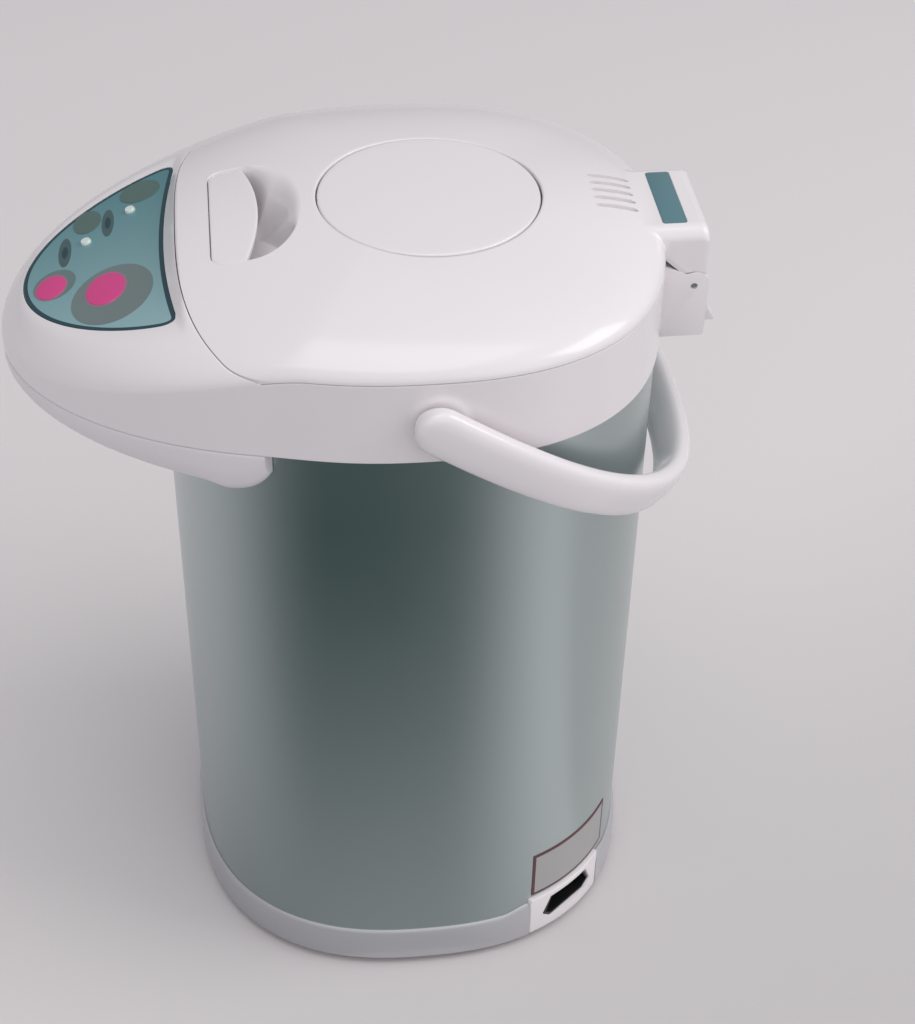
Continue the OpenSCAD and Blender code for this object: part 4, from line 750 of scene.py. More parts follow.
@dataclass
class UpperHousing:
    """Collar with the nose and the trim below it."""

    paints: Paints
    wall: float = 2.6
    seam: float = 0.35
    panel_gap: float = 0.25
    directions: int = 540
    rim_round: float = 0.6
    fairing_from: float = 98.5
    fairing_r: float = 12.4
    fairing_h: float = 0.85
    fairing_fade: float = 3.0
    chin_h: float = 23.0
    chin_rise: float = 9.0
    chin_keel: float = 80.0
    chin_back: float = 59.0
    chin_end: float = 24.0
    chin_round: float = 15.0
    chin_lip: float = 0.9
    chin_min: float = 3.0
    chin_seat: float = 99.0
    chin_gap: float = 0.02
    chin_share: float = 0.75
    panel_cut: Span = (-12.0, 12.0)
    nozzle_cut: Span = (250.0, 291.0)
    nozzle_r: float = 7.1
    nozzle_y: float = -130.0

    def collar_loops(self) -> Array:
        """Collar profile in each direction: up the wall, then along the crown to the lid's seam.

        On the crown r = house * cos(a)^(2/n), and the height follows the shape's top law, with
        steps even along the way. The rims are rounded by rim_round.
        """
        p = full_turn(self.directions)[:, None]
        big, low = SHAPE.house(p), SHAPE.collar_low
        end = np.minimum(big, SHAPE.lid(p) + self.seam)
        zw = SHAPE.wall_top(p)
        a = np.arccos(np.minimum(end / big, 1.0) ** (SHAPE.crown_n / 2))
        wall = zw - self.seam - low
        cap = np.hypot(big - end, (SHAPE.crown - zw) * np.sin(a))
        s = (wall + cap) * np.linspace(0, 1, 56)[None, :]
        t = np.clip((s - wall) / np.maximum(cap, 1e-6), 0, 1)
        on_cap = (s > wall) & (cap > 1e-3)
        r = np.where(on_cap, big * np.cos(a * t) ** (2 / SHAPE.crown_n), big + 0 * s)
        z = np.where(on_cap, SHAPE.top(r * np.cos(p), r * np.sin(p)), low + np.minimum(s, wall))
        step_r, step_z = np.gradient(r, axis=1), np.gradient(z, axis=1)
        size = np.maximum(np.hypot(step_r, step_z), 1e-9)
        dr, dz = step_r / size, step_z / size
        q = self.rim_round
        ri, zi = r - dz * self.wall, z + dr * self.wall
        ri = np.where(on_cap, np.maximum(ri, end), ri)
        last_r, last_z, last_dr, last_dz = (k[:, -1:] for k in (r, z, dr, dz))
        edge = np.where(on_cap[:, -1:], end, 0.0)
        rr = [ri[:, :1], r[:, :1] - q * 0.85, r[:, :1] - q * 0.25, r[:, :1], r[:, 1:-1], last_r - q * last_dr,
              np.maximum(last_r - q * 0.25 * (last_dz + last_dr * 0.6), edge),
              np.maximum(last_r - q * last_dz, edge), ri[:, :0:-1]]
        zz = [zi[:, :1], z[:, :1], z[:, :1] + q * 0.15, z[:, :1] + q, z[:, 1:-1], last_z - q * last_dz,
              last_z + q * 0.25 * (last_dr - last_dz * 0.6), last_z + q * last_dr, zi[:, :0:-1]]
        pts = polar(np.concatenate(rr, 1), p, np.concatenate(zz, 1))
        reach = np.hypot(pts[..., 1] - SHAPE.pivot_y, pts[..., 2] - SHAPE.pivot_z)
        lift = self.fairing_h * (1 - ease((reach - self.fairing_r) / self.fairing_fade + 1))
        outside = np.abs(pts[..., 0]) > self.fairing_from
        pts[..., 0] += np.sign(pts[..., 0]) * np.where(outside, lift, 0.0)
        return pts

    def collar(self) -> None:
        """Collar shell with its opening for the panel."""
        shell = skin("upper_housing", self.collar_loops())
        outline = SHAPE.panel_outline(self.panel_gap)
        ends = [SHAPE.on_panel(outline[:, 0], outline[:, 1], h) for h in self.panel_cut]
        combine(shell, [skin("panel_cut", np.stack(ends), closed=False)])
        settle(shell, "pot", self.paints["glossy_white"], ["collar"])

    def chin(self) -> None:
        """Trim under the nose: from the sleeve out along its floor, round the corner and up."""
        turn = math.pi / 2 - math.asin(self.chin_back / float(SHAPE.body(math.radians(34), SHAPE.half)))
        p = np.linspace(-math.pi / 2 - turn, -math.pi / 2 + turn, 300)[:, None]
        big, top = SHAPE.house(p) - self.chin_gap, SHAPE.collar_low - self.seam
        y = -SHAPE.house(p) * np.sin(p)
        front = np.maximum(y - self.chin_keel, 0) / (SHAPE.tip - self.chin_keel)
        e = np.clip((self.chin_back + self.chin_end - y) / self.chin_end, 0, 1)
        low = SHAPE.collar_low - np.maximum((self.chin_h - self.chin_rise * front**0.8) * np.sqrt(1 - e * e),
                                            self.chin_min)
        stop = SHAPE.body(p, self.chin_seat) + self.seam
        rx = np.minimum(self.chin_round, big - stop - 0.3)
        rz = np.minimum(self.chin_round, (top - low) * self.chin_share)
        a, b = (np.linspace(0, math.pi / 2, k)[None, :] for k in (16, 6))
        inner = stop + (big - rx - stop) * np.linspace(0, 1, 12)[None, :-1]
        lip = self.chin_lip
        r = np.concatenate([inner, big - rx + rx * np.sin(a), big, big - lip + lip * np.cos(b), stop], 1)
        z = np.concatenate([low + 0 * inner, low + rz - rz * np.cos(a), (low + rz + top - lip) / 2,
                            top - lip + lip * np.sin(b) + 0 * big, top + 0 * big], 1)
        shell = skin("spout_trim", polar(r, p, z), closed=False)
        bore = polar(self.nozzle_r, full_turn(48), 0.0, self.nozzle_y)[:, :2]
        combine(shell, [prism("nozzle_cut", bore, *self.nozzle_cut)])
        settle(shell, "pot", self.paints["trim_white"], ["spout_cover"], crease=40)

    def build(self) -> None:
        """Builds the housing's shells."""
        self.collar()
        self.chin()


@dataclass(frozen=True)
class Oval:
    """An oval on the panel: centre and half-sizes."""

    x: float
    y: float
    a: float
    b: float

    def rim(self, grow: float = 0.0, count: int = 64) -> Array:
        """Points round the oval, grown by an amount."""
        t = full_turn(count)
        return np.stack([self.x + (self.a + grow) * np.cos(t), self.y + (self.b + grow) * np.sin(t)], 1)


@dataclass
class Panel:
    """The printed overlay with its border, printed ovals, keys and pills."""

    paints: Paints
    border: float = 1.7
    sheet: float = 0.8
    middle: Span = (0.0, -24.0)
    key_span: Span = (-3.6, 0.3)
    ring: float = 0.8
    bar: Span = (4.2, 1.25)
    dispense: Oval = Oval(20.4, -26.5, 10.4, 7.9)
    unlock: Oval = Oval(7.8, -49.2, 7.7, 6.1)
    reboil: Oval = Oval(-43.9, -13.0, 7.6, 8.6)
    warm: Oval = Oval(-32.4, -35.3, 8.1, 5.9)
    pour_field: Oval = Oval(25.1, -23.9, 19.2, 16.6)
    unlock_field: Oval = Oval(6.5, -47.9, 10.0, 8.8)
    pills: tuple[Oval, ...] = (Oval(-14.7, -44.3, 10.4, 2.7), Oval(-27.3, -26.5, 10.0, 2.6))

    def patch(self, name: str, rim: Array, low: float, high: float, dome: float = 0.0) -> bpy.types.Object:
        """A thin solid over a rim on the panel: rings shrink to the middle, h = high + dome(1 - s^2)."""
        mid = rim.mean(0)
        s = np.array([1.0, 1.0, 0.985, 0.9, 0.7, 0.4, 0.0])
        h = np.concatenate([[low, high - 0.12 * min(1.0, high - low)], high + dome * (1 - s[2:] ** 2)])
        pts = shrunk(rim, mid, s)
        under = np.broadcast_to(SHAPE.on_panel(*mid, low), (len(rim), 1, 3))
        return wrap(name, np.concatenate([under, SHAPE.on_panel(pts[..., 0], pts[..., 1], h)], 1))

    def overlay(self) -> None:
        """Overlay: rings inside the outline, the outermost of which is the border's width."""
        rim = resample(SHAPE.panel_outline(0.0), 400)
        mid = np.array(self.middle)
        step = np.roll(rim, -1, 0) - np.roll(rim, 1, 0)
        inward = np.stack([step[:, 1], -step[:, 0]], 1)
        inward /= np.linalg.norm(inward, axis=1)[:, None]
        inward *= np.sign(((mid - rim) * inward).sum(1))[:, None]
        inner = rim + inward * self.border
        plan = np.concatenate([np.stack([rim, rim, rim + inward * 0.25, inner], 1),
                               shrunk(inner, mid, (0.8, 0.5, 0.0))], 1)
        pts = SHAPE.on_panel(plan[..., 0], plan[..., 1], np.array([-self.sheet, -0.2, 0.0, 0.0, 0.0, 0.0, 0.0]))
        under = np.broadcast_to(SHAPE.on_panel(*mid, -self.sheet), (len(rim), 1, 3))
        obj = wrap("panel_sheet", np.concatenate([under, pts], 1))
        for paint in ("panel_print", "panel_border"):
            obj.data.materials.append(self.paints[paint])
        centres = np.empty(len(obj.data.polygons) * 3)
        obj.data.polygons.foreach_get("center", centres)
        near = self.near_edge(centres.reshape(-1, 3) / MM, rim)
        obj.data.polygons.foreach_set("material_index", (near < self.border * 0.95).astype(int))
        settle(obj, "pot", None, ["panel_overlay"])

    def near_edge(self, centres: Array, rim: Array) -> Array:
        """Distance of each face's centre from the outline, on the panel's plane."""
        y = (centres[:, 1] - SHAPE.panel_y) / math.cos(SHAPE.panel_tilt)
        flat = np.stack([centres[:, 0], y], 1)
        return np.min(np.linalg.norm(flat[:, None, :] - rim[None, ::4, :], axis=2), axis=1)

    def build(self) -> None:
        """Builds the overlay, its printed shapes and the keys."""
        self.overlay()
        prints = [("pour_field", self.pour_field.rim(), "print_grey", 0.05),
                  ("unlock_field", self.unlock_field.rim(), "print_mid", 0.05),
                  ("pour_ring", self.dispense.rim(self.ring), "print_ring", 0.09),
                  ("unlock_ring", self.unlock.rim(self.ring), "print_ring", 0.09)]
        for k, pill in enumerate(self.pills):
            bar = Oval(pill.x, pill.y, *self.bar)
            prints += [(f"pill_{k}", pill.rim(), "print_dark", 0.06),
                       (f"pill_bar_{k}", bar.rim(), "panel_border", 0.1)]
        for name, rim, paint, high in prints:
            settle(self.patch(name, rim, 0.0, high), "pot", self.paints[paint])
        pink, green = ("key_pink", Slot.PINK, 0.35), ("key_green", Slot.GREY, 0.1)
        keys = (("dispense", self.dispense, pink), ("unlock", self.unlock, pink),
                ("reboil", self.reboil, green), ("warm", self.warm, green))
        for body, oval, (paint, slot, dome) in keys:
            cap = self.patch(f"{body}_key_cap", oval.rim(), *self.key_span, dome)
            settle(cap, body, self.paints[paint], [f"{body}_key"])


@dataclass
class LidAssembly:
    """Lid cover with its tail, slots and finger well, the latch lever and the press disc."""

    paints: Paints
    press_y: float = 8.6
    press_r: float = 43.6
    press_gap: float = 0.5
    press_edge: float = 346.2
    press_dome: float = 1.1
    press_round: float = 0.9
    press_step: float = 2.0
    press_skirt: float = 14.0
    press_t: float = 2.5
    press_travel: float = 20.0
    cup_top: float = 307.9
    spring_r: float = 15.0
    spring_wire: float = 1.0
    spring_turns: int = 6
    bellows_r: float = 38.0
    bellows_fold: float = 6.0
    bellows_n: int = 5
    bellows_t: float = 1.0
    hole_round: float = 0.6
    slot_half: float = 1.25
    slot_pitch: float = 5.6
    slot_span: Span = (72.3, 89.7)
    slot_deep: float = 1.4
    slot_tall: float = 9.0
    slot_law: int = 8
    edge_deep: float = 1.5
    opening_w: float = 34.5
    opening_front: float = -77.0
    opening_mid: float = -64.0
    opening_back: float = -41.2
    opening_round: float = 6.5
    opening_law: float = 0.86
    cut_span: Span = (325.0, 360.0)
    lever_back: float = -57.9
    lever_gap: float = 0.5
    lever_bow: float = 5.6
    lever_round: float = 6.0
    lever_mid: Span = (0.0, -68.0)
    lever_under: tuple[float, ...] = (0.0, 0.6, 0.97)
    lever_over: tuple[float, ...] = (1.0, 1.0, 0.992, 0.975, 0.9, 0.7, 0.4, 0.0)
    lever_drops: tuple[float, ...] = (2.6, 2.6, 2.6, 2.6, 1.15, 0.75, 0.62, 0.6, 0.6, 0.6, 0.6)
    well_mid: Span = (0.0, -62.0)
    well_side: Span = (20.0, 16.0)
    well_steep: float = 0.1
    well_soft: float = 0.72
    well_blend: float = 14.0
    well_lap: float = 0.8
    well_seat: float = 2.0
    well_deep: float = 14.5
    well_floor: float = 326.8
    well_under: float = 325.6
    badge_w: float = 18.1
    badge_y: Span = (99.2, 106.4)
    badge_r: float = 1.2
    badge_deep: float = 0.35
    wall: float = 2.4
    spokes: int = 620
    grade: float = 1.7
    tail_ramp: tuple[Span, Span] = ((100.2, 108.2), (327.2, 320.1))
    lug_r: float = 6.9

    def front(self, w: float, f: float, r: float) -> list[Array]:
        """Front corners of the opening or the lever: half-width w, front edge at f, radius r."""
        return [arc(-w + r, f + r, r, 180, 270), arc(w - r, f + r, r, 270, 360)]

    def opening(self, count: int = 200) -> Array:
        """Plan of the latch opening: rounded front corners, upright sides and an oval rear."""
        w, t = self.opening_w, np.linspace(0, math.pi, 60)
        back = self.opening_back - self.opening_mid
        rear = np.stack([w * np.cos(t), self.opening_mid + back * np.sin(t) ** self.opening_law], 1)
        return resample(np.concatenate([*self.front(w, self.opening_front, self.opening_round), rear]), count)

    def outline(self) -> Array:
        """Plan of the lid with its tail, evenly spaced along its edge."""
        p = np.linspace(-math.pi, math.pi, 40001)[:-1]
        r = np.maximum(SHAPE.lid(p), np.where(np.sin(p) > 0.5, SHAPE.tail(p), 0.0))
        return resample(polar(r, p, 0.0)[:, :2], self.spokes)

    def tail_low(self, y: Array) -> Array:
        """Lower edge of the tail: round the hinge pin behind, a ramp up to the seam in front."""
        dy = y - SHAPE.hinge_y
        round_part = SHAPE.hinge_z + np.sqrt(np.maximum(self.lug_r**2 - dy * dy, 9.0))
        return np.where(y < self.tail_ramp[0][1], np.interp(y, *self.tail_ramp), round_part)

    def cover(self) -> None:
        """Lid cover: edge wall, top skin in to the press hole, and the same again a wall below."""
        edge = self.outline()
        r = np.linalg.norm(edge, axis=1)
        p = np.arctan2(edge[:, 1], edge[:, 0])
        in_tail = (r > SHAPE.house(p) + 0.05) & (edge[:, 1] > 60)
        middle, spoke = np.array([0, self.press_y]), np.stack([np.cos(p), np.sin(p)], 1)
        hole = middle + (self.press_r + self.press_gap) * spoke
        rim = hole + self.hole_round * spoke
        q = (np.linspace(0, 1, 84) ** self.grade)[None, :, None]
        flat = edge[:, None, :] + (rim - edge)[:, None, :] * q
        top_z = SHAPE.top(flat[..., 0], flat[..., 1])
        turn = np.linspace(0, math.pi / 2, 5)[None, 1:]
        roll = rim[:, None, :] - spoke[:, None, :] * (self.hole_round * np.sin(turn))[..., None]
        roll_z = top_z[:, -1:] - self.hole_round * (1 - np.cos(turn))
        wall_low = np.minimum(top_z[:, 0], np.maximum(SHAPE.wall_top(p), top_z[:, 0] - self.edge_deep))
        low = np.where(in_tail, self.tail_low(edge[:, 1]), wall_low)
        rise = np.linspace(0, 1, 14)[None, :-1]  # the last step is the top skin's first
        wall_z = low[:, None] + (top_z[:, :1] - low[:, None]) * rise
        wall_xy = np.repeat(edge[:, None, :], rise.size, 1)
        shrink = 1 - self.wall / r
        inner_edge = edge * shrink[:, None]
        q2 = (np.linspace(0, 1, 30) ** self.grade)[None, ::-1, None]
        under = inner_edge[:, None, :] + (hole - inner_edge)[:, None, :] * q2
        under_z = SHAPE.top(under[..., 0], under[..., 1]) - self.wall
        under_z[:, -1] = np.maximum(under_z[:, -1], low + 0.5)
        xy = np.concatenate([wall_xy, flat, roll, under, inner_edge[:, None, :]], 1)
        z = np.concatenate([wall_z, top_z, roll_z, under_z, low[:, None]], 1)
        shell = skin("lid_shell", raised(xy, z))
        cutters = [prism("latch_cut", self.opening(160), *self.cut_span)]
        cutters += [self.slot((k - 2) * self.slot_pitch) for k in range(5)]
        seat = SHAPE.tail_top - self.badge_deep
        cutters.append(prism("badge_cut", self.badge_plan(0.1), seat, self.cut_span[1]))
        combine(shell, cutters)
        settle(shell, "lid", self.paints["glossy_white"], ["lid_cover", "lid_tail"], crease=38)

    def slot(self, x: float) -> bpy.types.Object:
        """Cutter of one steam slot: its floor follows the lid, its half-width is w(1 - u^n)^(1/2)."""
        u = np.linspace(-0.99, 0.99, 25)
        y = np.interp(u, [-1, 1], self.slot_span)
        w = self.slot_half * np.sqrt(1 - u**self.slot_law)
        floor = SHAPE.top(x + 0 * y, y) - self.slot_deep
        tall = self.slot_tall
        corners = [np.stack([x + k * w, y, floor + h], 1) for k, h in ((-1, 0), (1, 0), (1, tall), (-1, tall))]
        return skin("slot_cut", np.stack(corners, 1), closed=False)

    def badge_plan(self, gap: float) -> Array:
        """Plan of the badge, grown by a gap: a rectangle with rounded corners."""
        x, (y0, y1), r = self.badge_w, self.badge_y, self.badge_r + gap
        return np.concatenate([arc(x + gap, y1 + gap, r, 0, 90, 6), arc(-x - gap, y1 + gap, r, 90, 180, 6),
                               arc(-x - gap, y0 - gap, r, 180, 270, 6), arc(x + gap, y0 - gap, r, 270, 360, 6)])

    def badge(self) -> None:
        """Bare teal plate in its recess on the tail."""
        top = SHAPE.tail_top
        plate = prism("tail_plate", self.badge_plan(0.0), top - self.badge_deep, top + 0.02)
        settle(bevel(plate, 0.12, 2, 50), "lid", self.paints["badge_teal"], ["tail_badge"])

    def well(self) -> None:
        """Finger well: from the opening's rim, z = top - depth * f(s), gentle at the rear."""
        rim = self.opening()
        mid = np.array(self.well_mid)
        s = np.linspace(0, 1, 36)
        pts = rim[:, None, :] + (mid - rim)[:, None, :] * (s[None, :, None] * 0.98)
        near, shift = self.well_side
        back = ease((rim[:, 1] - mid[1] - shift * np.clip(rim[:, 0] / near, 0, 1)) / self.well_blend)[:, None]
        fall = self.well_deep * ease(s[None, :] / (self.well_steep + self.well_soft * back))
        z = np.maximum(SHAPE.top(pts[..., 0], pts[..., 1]) - fall, self.well_floor)
        out = rim + (rim - mid) / np.linalg.norm(rim - mid, axis=1)[:, None] * self.well_lap
        top = SHAPE.top(rim[:, 0], rim[:, 1]) - self.well_seat
        loops = [raised(plan, h)[:, None, :] for plan, h in (
            (0 * rim + mid, self.well_under), (out, self.well_under), (out, top - 0.6), (rim, top))]
        centre = raised(0 * rim + mid, z[:, -1].mean())[:, None, :]
        obj = wrap("finger_scoop", np.concatenate([*loops, raised(pts, z), centre], 1))
        settle(obj, "lid", self.paints["glossy_white"], ["finger_well"], crease=50)

    def lever(self) -> None:
        """Latch lever: the lid's own surface over its outline, 2 mm thick, with rounded edges."""
        w = self.opening_w - self.lever_gap
        x = np.linspace(1, -1, 60)
        rear = np.stack([w * x, self.lever_back - self.lever_bow * x**2], 1)
        corners = self.front(w, self.opening_front + self.lever_gap, self.lever_round)
        rim = resample(np.concatenate([*corners, rear]), 220)
        pts = shrunk(rim, np.array(self.lever_mid), self.lever_under + self.lever_over)
        top = SHAPE.top(pts[..., 0], pts[..., 1])
        obj = wrap("latch_plate", raised(pts, top - np.array(self.lever_drops)))
        settle(obj, "latch", self.paints["glossy_white"], ["latch_lever"], crease=50)

    def disc(self) -> None:
        """Press disc: a turned cap with a rounded rim; its face is z = edge + dome (1 - (x/r)^2)."""
        r, z, q = self.press_r, self.press_edge, self.press_round
        a = np.linspace(0, math.pi / 2, 6)
        rim = np.stack([r - q + q * np.cos(a), z - q + q * np.sin(a)], 1)
        x = (r - q) * np.linspace(0.98, 0, 16)
        face = np.stack([x, z + self.press_dome * (1 - (x / r) ** 2)], 1)
        inside, skirt = r - self.press_step, z - self.press_skirt
        low = np.array([[0, self.under], [inside, self.under], [inside, skirt], [r, skirt]])
        reach, height = np.concatenate([low, rim, face]).T
        obj = wrap("press_cap", polar(reach, full_turn(128)[:, None], height, self.press_y))
        settle(obj, "press", self.paints["glossy_white"], ["press_disc"])

    @property
    def under(self) -> float:
        """Height of the disc's underside."""
        return self.press_edge - self.press_t

    def fold_up(self, obj: bpy.types.Object) -> None:
        """Gives a piece between the cup and the disc its own copy of its mesh."""
        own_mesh(obj)

    def spring(self) -> None:
        """Return spring: a round wire wound round the disc's axis at a steady pitch."""
        wire, gap = self.spring_wire, self.spring_wire + 0.2
        a = np.linspace(0, 2 * math.pi * self.spring_turns, 28 * self.spring_turns + 1)[:, None]
        b = full_turn(12)
        rise = self.cup_top + gap + (self.under - self.cup_top - 2 * gap) * a / a[-1, 0]
        obj = skin("press_spring_wire", polar(self.spring_r + wire * np.cos(b), a, rise - wire * np.sin(b),
                                              self.press_y), closed=False)
        settle(obj, "lid", self.paints["screw_steel"], ["press_spring"])
        self.fold_up(obj)

    def bellows(self) -> None:
        """Bellows: a thin turned wall whose radius swings once per fold, r = R - f (1 + cos 2 pi n u) / 2."""
        u = np.linspace(0, 1, 16 * self.bellows_n + 1)
        r = self.bellows_r - self.bellows_fold * (1 + np.cos(2 * math.pi * self.bellows_n * u)) / 2
        z = self.cup_top + (self.under - self.cup_top) * u
        reach, height = np.concatenate([r, r[::-1] - self.bellows_t]), np.concatenate([z, z[::-1]])
        obj = skin("bellows_wall", polar(reach, full_turn(96)[:, None], height, self.press_y))
        settle(obj, "lid", self.paints["grey_rubber"], ["pump_bellows"], crease=60)
        self.fold_up(obj)

    def build(self) -> None:
        """Builds the lid's pieces."""
        self.spring()
        self.bellows()
        self.cover()
        self.badge()
        self.well()
        self.lever()
        self.disc()


@dataclass
class HingeSet:
    """Hinge bracket on the collar and the release lever behind it."""

    paints: Paints
    half: float = 25.0
    lug: float = 14.4
    low: float = 290.4
    front: float = 94.0
    back: float = 117.2
    seat: float = 100.1
    pin_r: float = 1.4
    knuckle_r: float = 6.4
    cheek_top: float = 325.4
    wall_top: float = 311.0
    wall_t: float = 10.0
    floor_t: float = 2.5
    inset: float = 0.5
    release_low: float = 295.5

    def bracket(self) -> None:
        """Bracket: two cheeks rounded about the hinge pin, a rear bridge and a floor."""
        y, z = SHAPE.hinge_y, SHAPE.hinge_z
        front, low, back = self.front, self.low, self.back
        cheek = np.concatenate([[[front, low], [back, low]], arc(y, z, self.knuckle_r, 25, 118, 16),
                                [[front, self.cheek_top]]])
        wide = (self.half - self.lug) / 2
        parts = [side_prism("cheek", cheek, wide, s * (self.lug + wide)) for s in (-1, 1)]
        half = self.half - self.inset
        parts += [side_box("wall", (front, front + self.wall_t), (low, self.wall_top), half),
                  side_box("floor", (front, back), (low, low + self.floor_t), half)]
        body = combine(parts[0], parts[1:], Cut.JOIN)
        t = full_turn(480)
        combine(body, [prism("round_cut", polar(SHAPE.body(t, self.seat), t, 0.0)[:, :2], 280.0, 350.0)])
        bevel(body, 0.7, 3, 40)
        combine(body, [side_prism("pin_cut", arc(y, z, self.pin_r, 0, 345, 24), 2.5, s * (self.half + 0.8))
                       for s in (-1, 1)])
        body.name = "hinge_cheeks"
        settle(body, "pot", self.paints["glossy_white"], ["hinge_bracket"], crease=40)

    def release(self) -> None:
        """Release lever: a plate behind the bracket that flares out into a thumb tab."""
        z = self.release_low
        outline = np.array([[113.0, z + 0.2], [121.4, z], [121.6, z + 1.0], [118.9, z + 5.6], [118.4, z + 9.0],
                            [117.5, z + 9.4], [117.5, z + 5.2], [113.0, z + 5.2]])
        plate = side_prism("release_tab", outline, 22.0)
        combine(plate, [side_box("tab_trim", (112.0, 117.5), (z - 2, z + 12), 5.0, x) for x in (18.6, -18.6)])
        combine(plate, [side_box("release_core", (112.4, 117.4), (z, z + 9.5), 13.5)], Cut.JOIN)
        bevel(plate, 0.4, 2, 40)
        settle(plate, "release", self.paints["trim_white"], ["lid_release"], crease=40)

    def build(self) -> None:
        """Builds the bracket and the lever."""
        self.bracket()
        self.release()


@dataclass
class SwingHandle:
    """The handle's band: one smooth solid with round ends about its pivots."""

    paints: Paints
    half: float = 106.0
    reach: float = 128.8
    deep: float = 19.4
    thick: float = 9.0
    law: float = 2.6
    rest: float = math.radians(33.9)
    section: Span = (2.7, 2.9)
    thinning: float = 0.55

    def build(self) -> None:
        """Band: x = W cos(t)^(2/n), s = L sin(t)^(2/n), with a superellipse section.

        Past the pivots the section's depth follows a circle, so the ends are round.
        """
        t = np.linspace(0, math.pi, 1201)
        c, s = np.cos(t), np.sin(t)
        n = 2 / self.law
        curve = np.stack([self.half * np.sign(c) * np.abs(c) ** n, self.reach * s**n], 1)
        length = np.concatenate([[0], np.cumsum(np.linalg.norm(np.diff(curve, axis=0), axis=1))])
        even = np.linspace(0, length[-1], 181)
        mid = np.stack([np.interp(even, length, curve[:, k]) for k in (0, 1)], 1)
        a = np.linspace(0, math.pi / 2, 14)[:-1]
        r = self.deep / 2
        head = np.stack([np.full(len(a), self.half), -r * np.cos(a)], 1)
        path = np.concatenate([head, mid, head[::-1] * np.array([-1, 1])])
        size = np.concatenate([np.sin(a), np.ones(len(mid)), np.sin(a)[::-1]])
        step = np.gradient(path, axis=0)
        step[:14], step[-14:] = [0.0, 1.0], [0.0, -1.0]
        out = np.stack([step[:, 1], -step[:, 0]], 1)
        out /= np.linalg.norm(out, axis=1)[:, None]
        cb, sb = np.cos(full_turn(40)), np.sin(full_turn(40))
        side = np.sign(cb) * np.abs(cb) ** (2 / self.section[0]) * self.thick / 2
        rise = np.sign(sb) * np.abs(sb) ** (2 / self.section[1]) * r
        u = side[None, :] * (1 - self.thinning * (1 - size) ** 2)[:, None]
        x = path[:, :1] + out[:, :1] * u
        d = path[:, 1:] + out[:, 1:] * u
        v = rise[None, :] * size[:, None]
        cr, sr = math.cos(self.rest), math.sin(self.rest)
        y = SHAPE.pivot_y + d * cr + v * sr
        z = SHAPE.pivot_z - d * sr + v * cr
        band = skin("handle_band", np.stack([x, y, z], -1), closed=False)
        settle(band, "handle", self.paints["glossy_white"], ["bail_handle"], crease=60)


# ---------------------------------------------------------------- studio


@dataclass(frozen=True)
class Lamp:
    """A soft rectangular light: place, aim, sides in metres, power in watts and colour."""

    name: str
    place: Point
    aim: Point
    size: Span
    power: float
    color: Point = (1.0, 1.0, 1.0)

    def build(self) -> None:
        """Adds the lamp to the scene."""
        data = bpy.data.lights.new(self.name, "AREA")
        data.shape, data.size, data.size_y = "RECTANGLE", self.size[0], self.size[1]
        data.energy, data.color = self.power, self.color
        obj = bpy.data.objects.new(self.name, data)
        obj.location = self.place
        obj.rotation_euler = (Vector(self.aim) - Vector(self.place)).to_track_quat("-Z", "Y").to_euler()
        bpy.context.scene.collection.objects.link(obj)


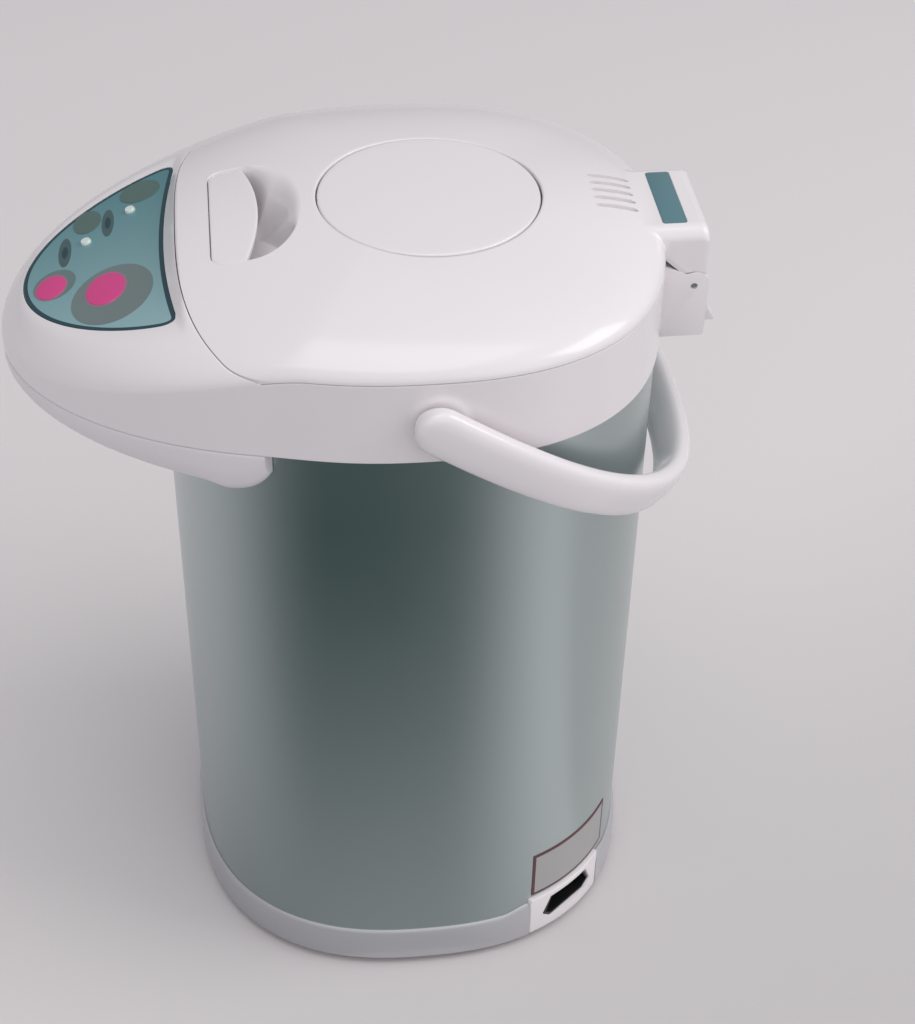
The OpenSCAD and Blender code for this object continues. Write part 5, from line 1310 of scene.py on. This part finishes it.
@dataclass
class Studio:
    """Pale floor with painted shade, soft lights, even surroundings and the camera."""

    floor_half: float = 12.0
    floor_color: Color = (229, 224, 225)
    floor_painted_shade: Color = (204, 200, 201)
    floor_along: Point = (0.8, 0.6, 0.0)
    floor_shade_span: Span = (-0.08, 0.26)
    # colour of the painted reflection: the dark sheet the sleeve mirrors as its dark band
    reflection_shade_color: Color = (24, 64, 62)
    card_reach: Span = (106.0, 720.0)
    card_arc: Span = (-118.0, 58.0)
    card_rise: Span = (-106.0, -30.0)
    card_fall: Span = (2.0, 50.0)
    card_near: float = 0.45
    card_full: float = 0.38
    sky_dim: Color = (126, 129, 133)
    sky_bright: Color = (240, 240, 242)
    sky_from: Point = (0.75, 0.45, 0.3)
    sky_power: float = 0.95
    lamps: tuple[Lamp, ...] = (
        Lamp("window", (0.35, 1.5, 1.55), (0.0, 0.0, 0.25), (1.1, 0.9), 10.2, (1.0, 0.99, 0.98)),
        Lamp("top", (0.2, -0.1, 1.9), (0.0, 0.0, 0.2), (1.2, 1.2), 5.6),
        Lamp("near", (1.9, 0.9, 1.0), (0.0, 0.0, 0.25), (1.2, 1.0), 0.9),
    )
    focal: float = 70.3125
    place: Point = (0.6712, -0.0669, 0.7494)
    pitch: float = math.radians(39.85)
    roll: float = math.radians(1.32)
    azimuth: float = math.radians(82.4)

    def floor(self) -> None:
        """Floor: one large sheet at the feet's level, with painted shade: its colour darkens towards +x and +y
        in place of the light's fall-off.
        """
        corners = np.array([[-1.0, -1, 0], [1, -1, 0], [1, 1, 0], [-1, 1, 0]])
        obj = make_object("floor_sheet", corners * self.floor_half / MM, [[0, 1, 2, 3]], closed=False)
        mat = bpy.data.materials.new("floor_paper")
        mat.use_nodes = True
        tree = mat.node_tree
        shader = tree.nodes[SHADER]
        where, along = add_nodes(tree, "TexCoord", "VectorMath")
        along.operation = "DOT_PRODUCT"
        fill(along, {1: self.floor_along})
        fade = ramp(tree, along, "Value", self.floor_shade_span, law="SMOOTHSTEP")
        # painted shade: the floor's colour darkens along floor_along, standing in for the light's fall-off
        mix = color_mix(tree, self.floor_color, self.floor_painted_shade)
        fill(shader, {"Roughness": 0.75, "Specular IOR Level": 0.2})
        wire(tree, (where, "Object", along, 0), (fade, "Result", mix, "Factor"),
             (mix, MIX_OUT, shader, "Base Color"))
        obj.data.materials.append(mat)

    def card(self) -> None:
        """Painted reflection: a dark sheet on the floor in front of the pot, which only mirroring surfaces
        show, laying a dark band of reflected shade on the sleeve.

        Its darkness is the product of three ramps: up and down over the direction, up over the distance.
        """
        turn = np.radians(np.linspace(*self.card_arc, 60))[:, None]
        pts = polar(np.array(self.card_reach)[None, :], turn, 0.5)
        obj = make_object("painted_reflection_card", pts, grid_faces(60, 2, False, False), closed=False)
        mat = Finish("painted_reflection_dark", self.reflection_shade_color, self.reflection_shade_color, rough=0.9).build()
        tree = mat.node_tree
        where, split, angle, far = add_nodes(tree, "TexCoord", "SeparateXYZ", "Math", "VectorMath")
        angle.operation, far.operation = "ARCTAN2", "LENGTH"
        ramps = (ramp(tree, angle, 0, tuple(np.radians(self.card_rise)), law="SMOOTHSTEP"),
                 ramp(tree, angle, 0, tuple(np.radians(self.card_fall)), (1.0, 0.0), "SMOOTHSTEP"),
                 ramp(tree, far, "Value", (self.card_reach[0] * MM, self.card_full), (self.card_near, 1.0)))
        both, total = add_nodes(tree, "Math", "Math")
        both.operation = total.operation = "MULTIPLY"
        mix = color_mix(tree, self.floor_color, self.reflection_shade_color)
        wire(tree, (where, "Object", split, 0), (where, "Object", far, 0), (split, "Y", angle, 0),
             (split, "X", angle, 1), (ramps[0], "Result", both, 0), (ramps[1], "Result", both, 1),
             (both, 0, total, 0), (ramps[2], "Result", total, 1), (total, 0, mix, "Factor"),
             (mix, MIX_OUT, tree.nodes[SHADER], "Base Color"))
        obj.data.materials.append(mat)
        # painted reflection: hidden from the camera, from diffuse light and from shadows, so the dark sheet
        # shows only in reflections
        obj.visible_camera = obj.visible_diffuse = obj.visible_shadow = False

    def sky(self) -> None:
        """Pale surroundings: brightest in one direction, dimmer the other way."""
        world = bpy.data.worlds.new("surroundings")
        world.use_nodes = True
        tree = world.node_tree
        back = tree.nodes["Background"]
        where, side = add_nodes(tree, "TexCoord", "VectorMath")
        side.operation = "DOT_PRODUCT"
        fill(side, {1: self.sky_from})
        fade = ramp(tree, side, "Value", (-0.8, 0.8))
        mix = color_mix(tree, self.sky_dim, self.sky_bright)
        fill(back, {"Strength": self.sky_power})
        wire(tree, (where, "Generated", side, 0), (fade, "Result", mix, "Factor"),
             (mix, MIX_OUT, back, "Color"))
        bpy.context.scene.world = world

    def camera(self) -> None:
        """Camera from a place and three angles; the columns are its right, up and back."""
        a, e, r = self.azimuth, self.pitch, self.roll
        back = np.array([math.sin(a) * math.cos(e), -math.cos(a) * math.cos(e), math.sin(e)])
        right = np.cross(-back, [0, 0, 1.0])
        right /= np.linalg.norm(right)
        up = np.cross(right, -back)
        right, up = math.cos(r) * right + math.sin(r) * up, -math.sin(r) * right + math.cos(r) * up
        data = bpy.data.cameras.new("camera")
        data.sensor_fit, data.sensor_height, data.sensor_width = "VERTICAL", 36.0, 36.0
        data.lens, data.clip_end = self.focal, 50.0
        obj = bpy.data.objects.new("camera", data)
        turn = Matrix(np.column_stack([right, up, back]).tolist()).to_4x4()
        obj.matrix_world = Matrix.Translation(self.place) @ turn
        bpy.context.scene.collection.objects.link(obj)
        bpy.context.scene.camera = obj

    def build(self) -> None:
        """Builds floor, surroundings, lamps and camera."""
        self.floor()
        self.card()
        self.sky()
        for lamp in self.lamps:
            lamp.build()
        self.camera()
        bpy.context.scene.view_settings.view_transform = "Standard"


def main() -> None:
    """Builds the sub-assemblies in order."""
    logging.basicConfig(level=logging.INFO, format="%(name)s: %(message)s")
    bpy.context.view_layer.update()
    paints = Paints()
    dress_cad_nodes(paints)
    Studio().build()
    for kind in (LowerBody, UpperHousing, Panel, LidAssembly, HingeSet, SwingHandle):
        kind(paints).build()
        log.info("built %s", kind.__name__)


if __name__ == "__main__":
    main()
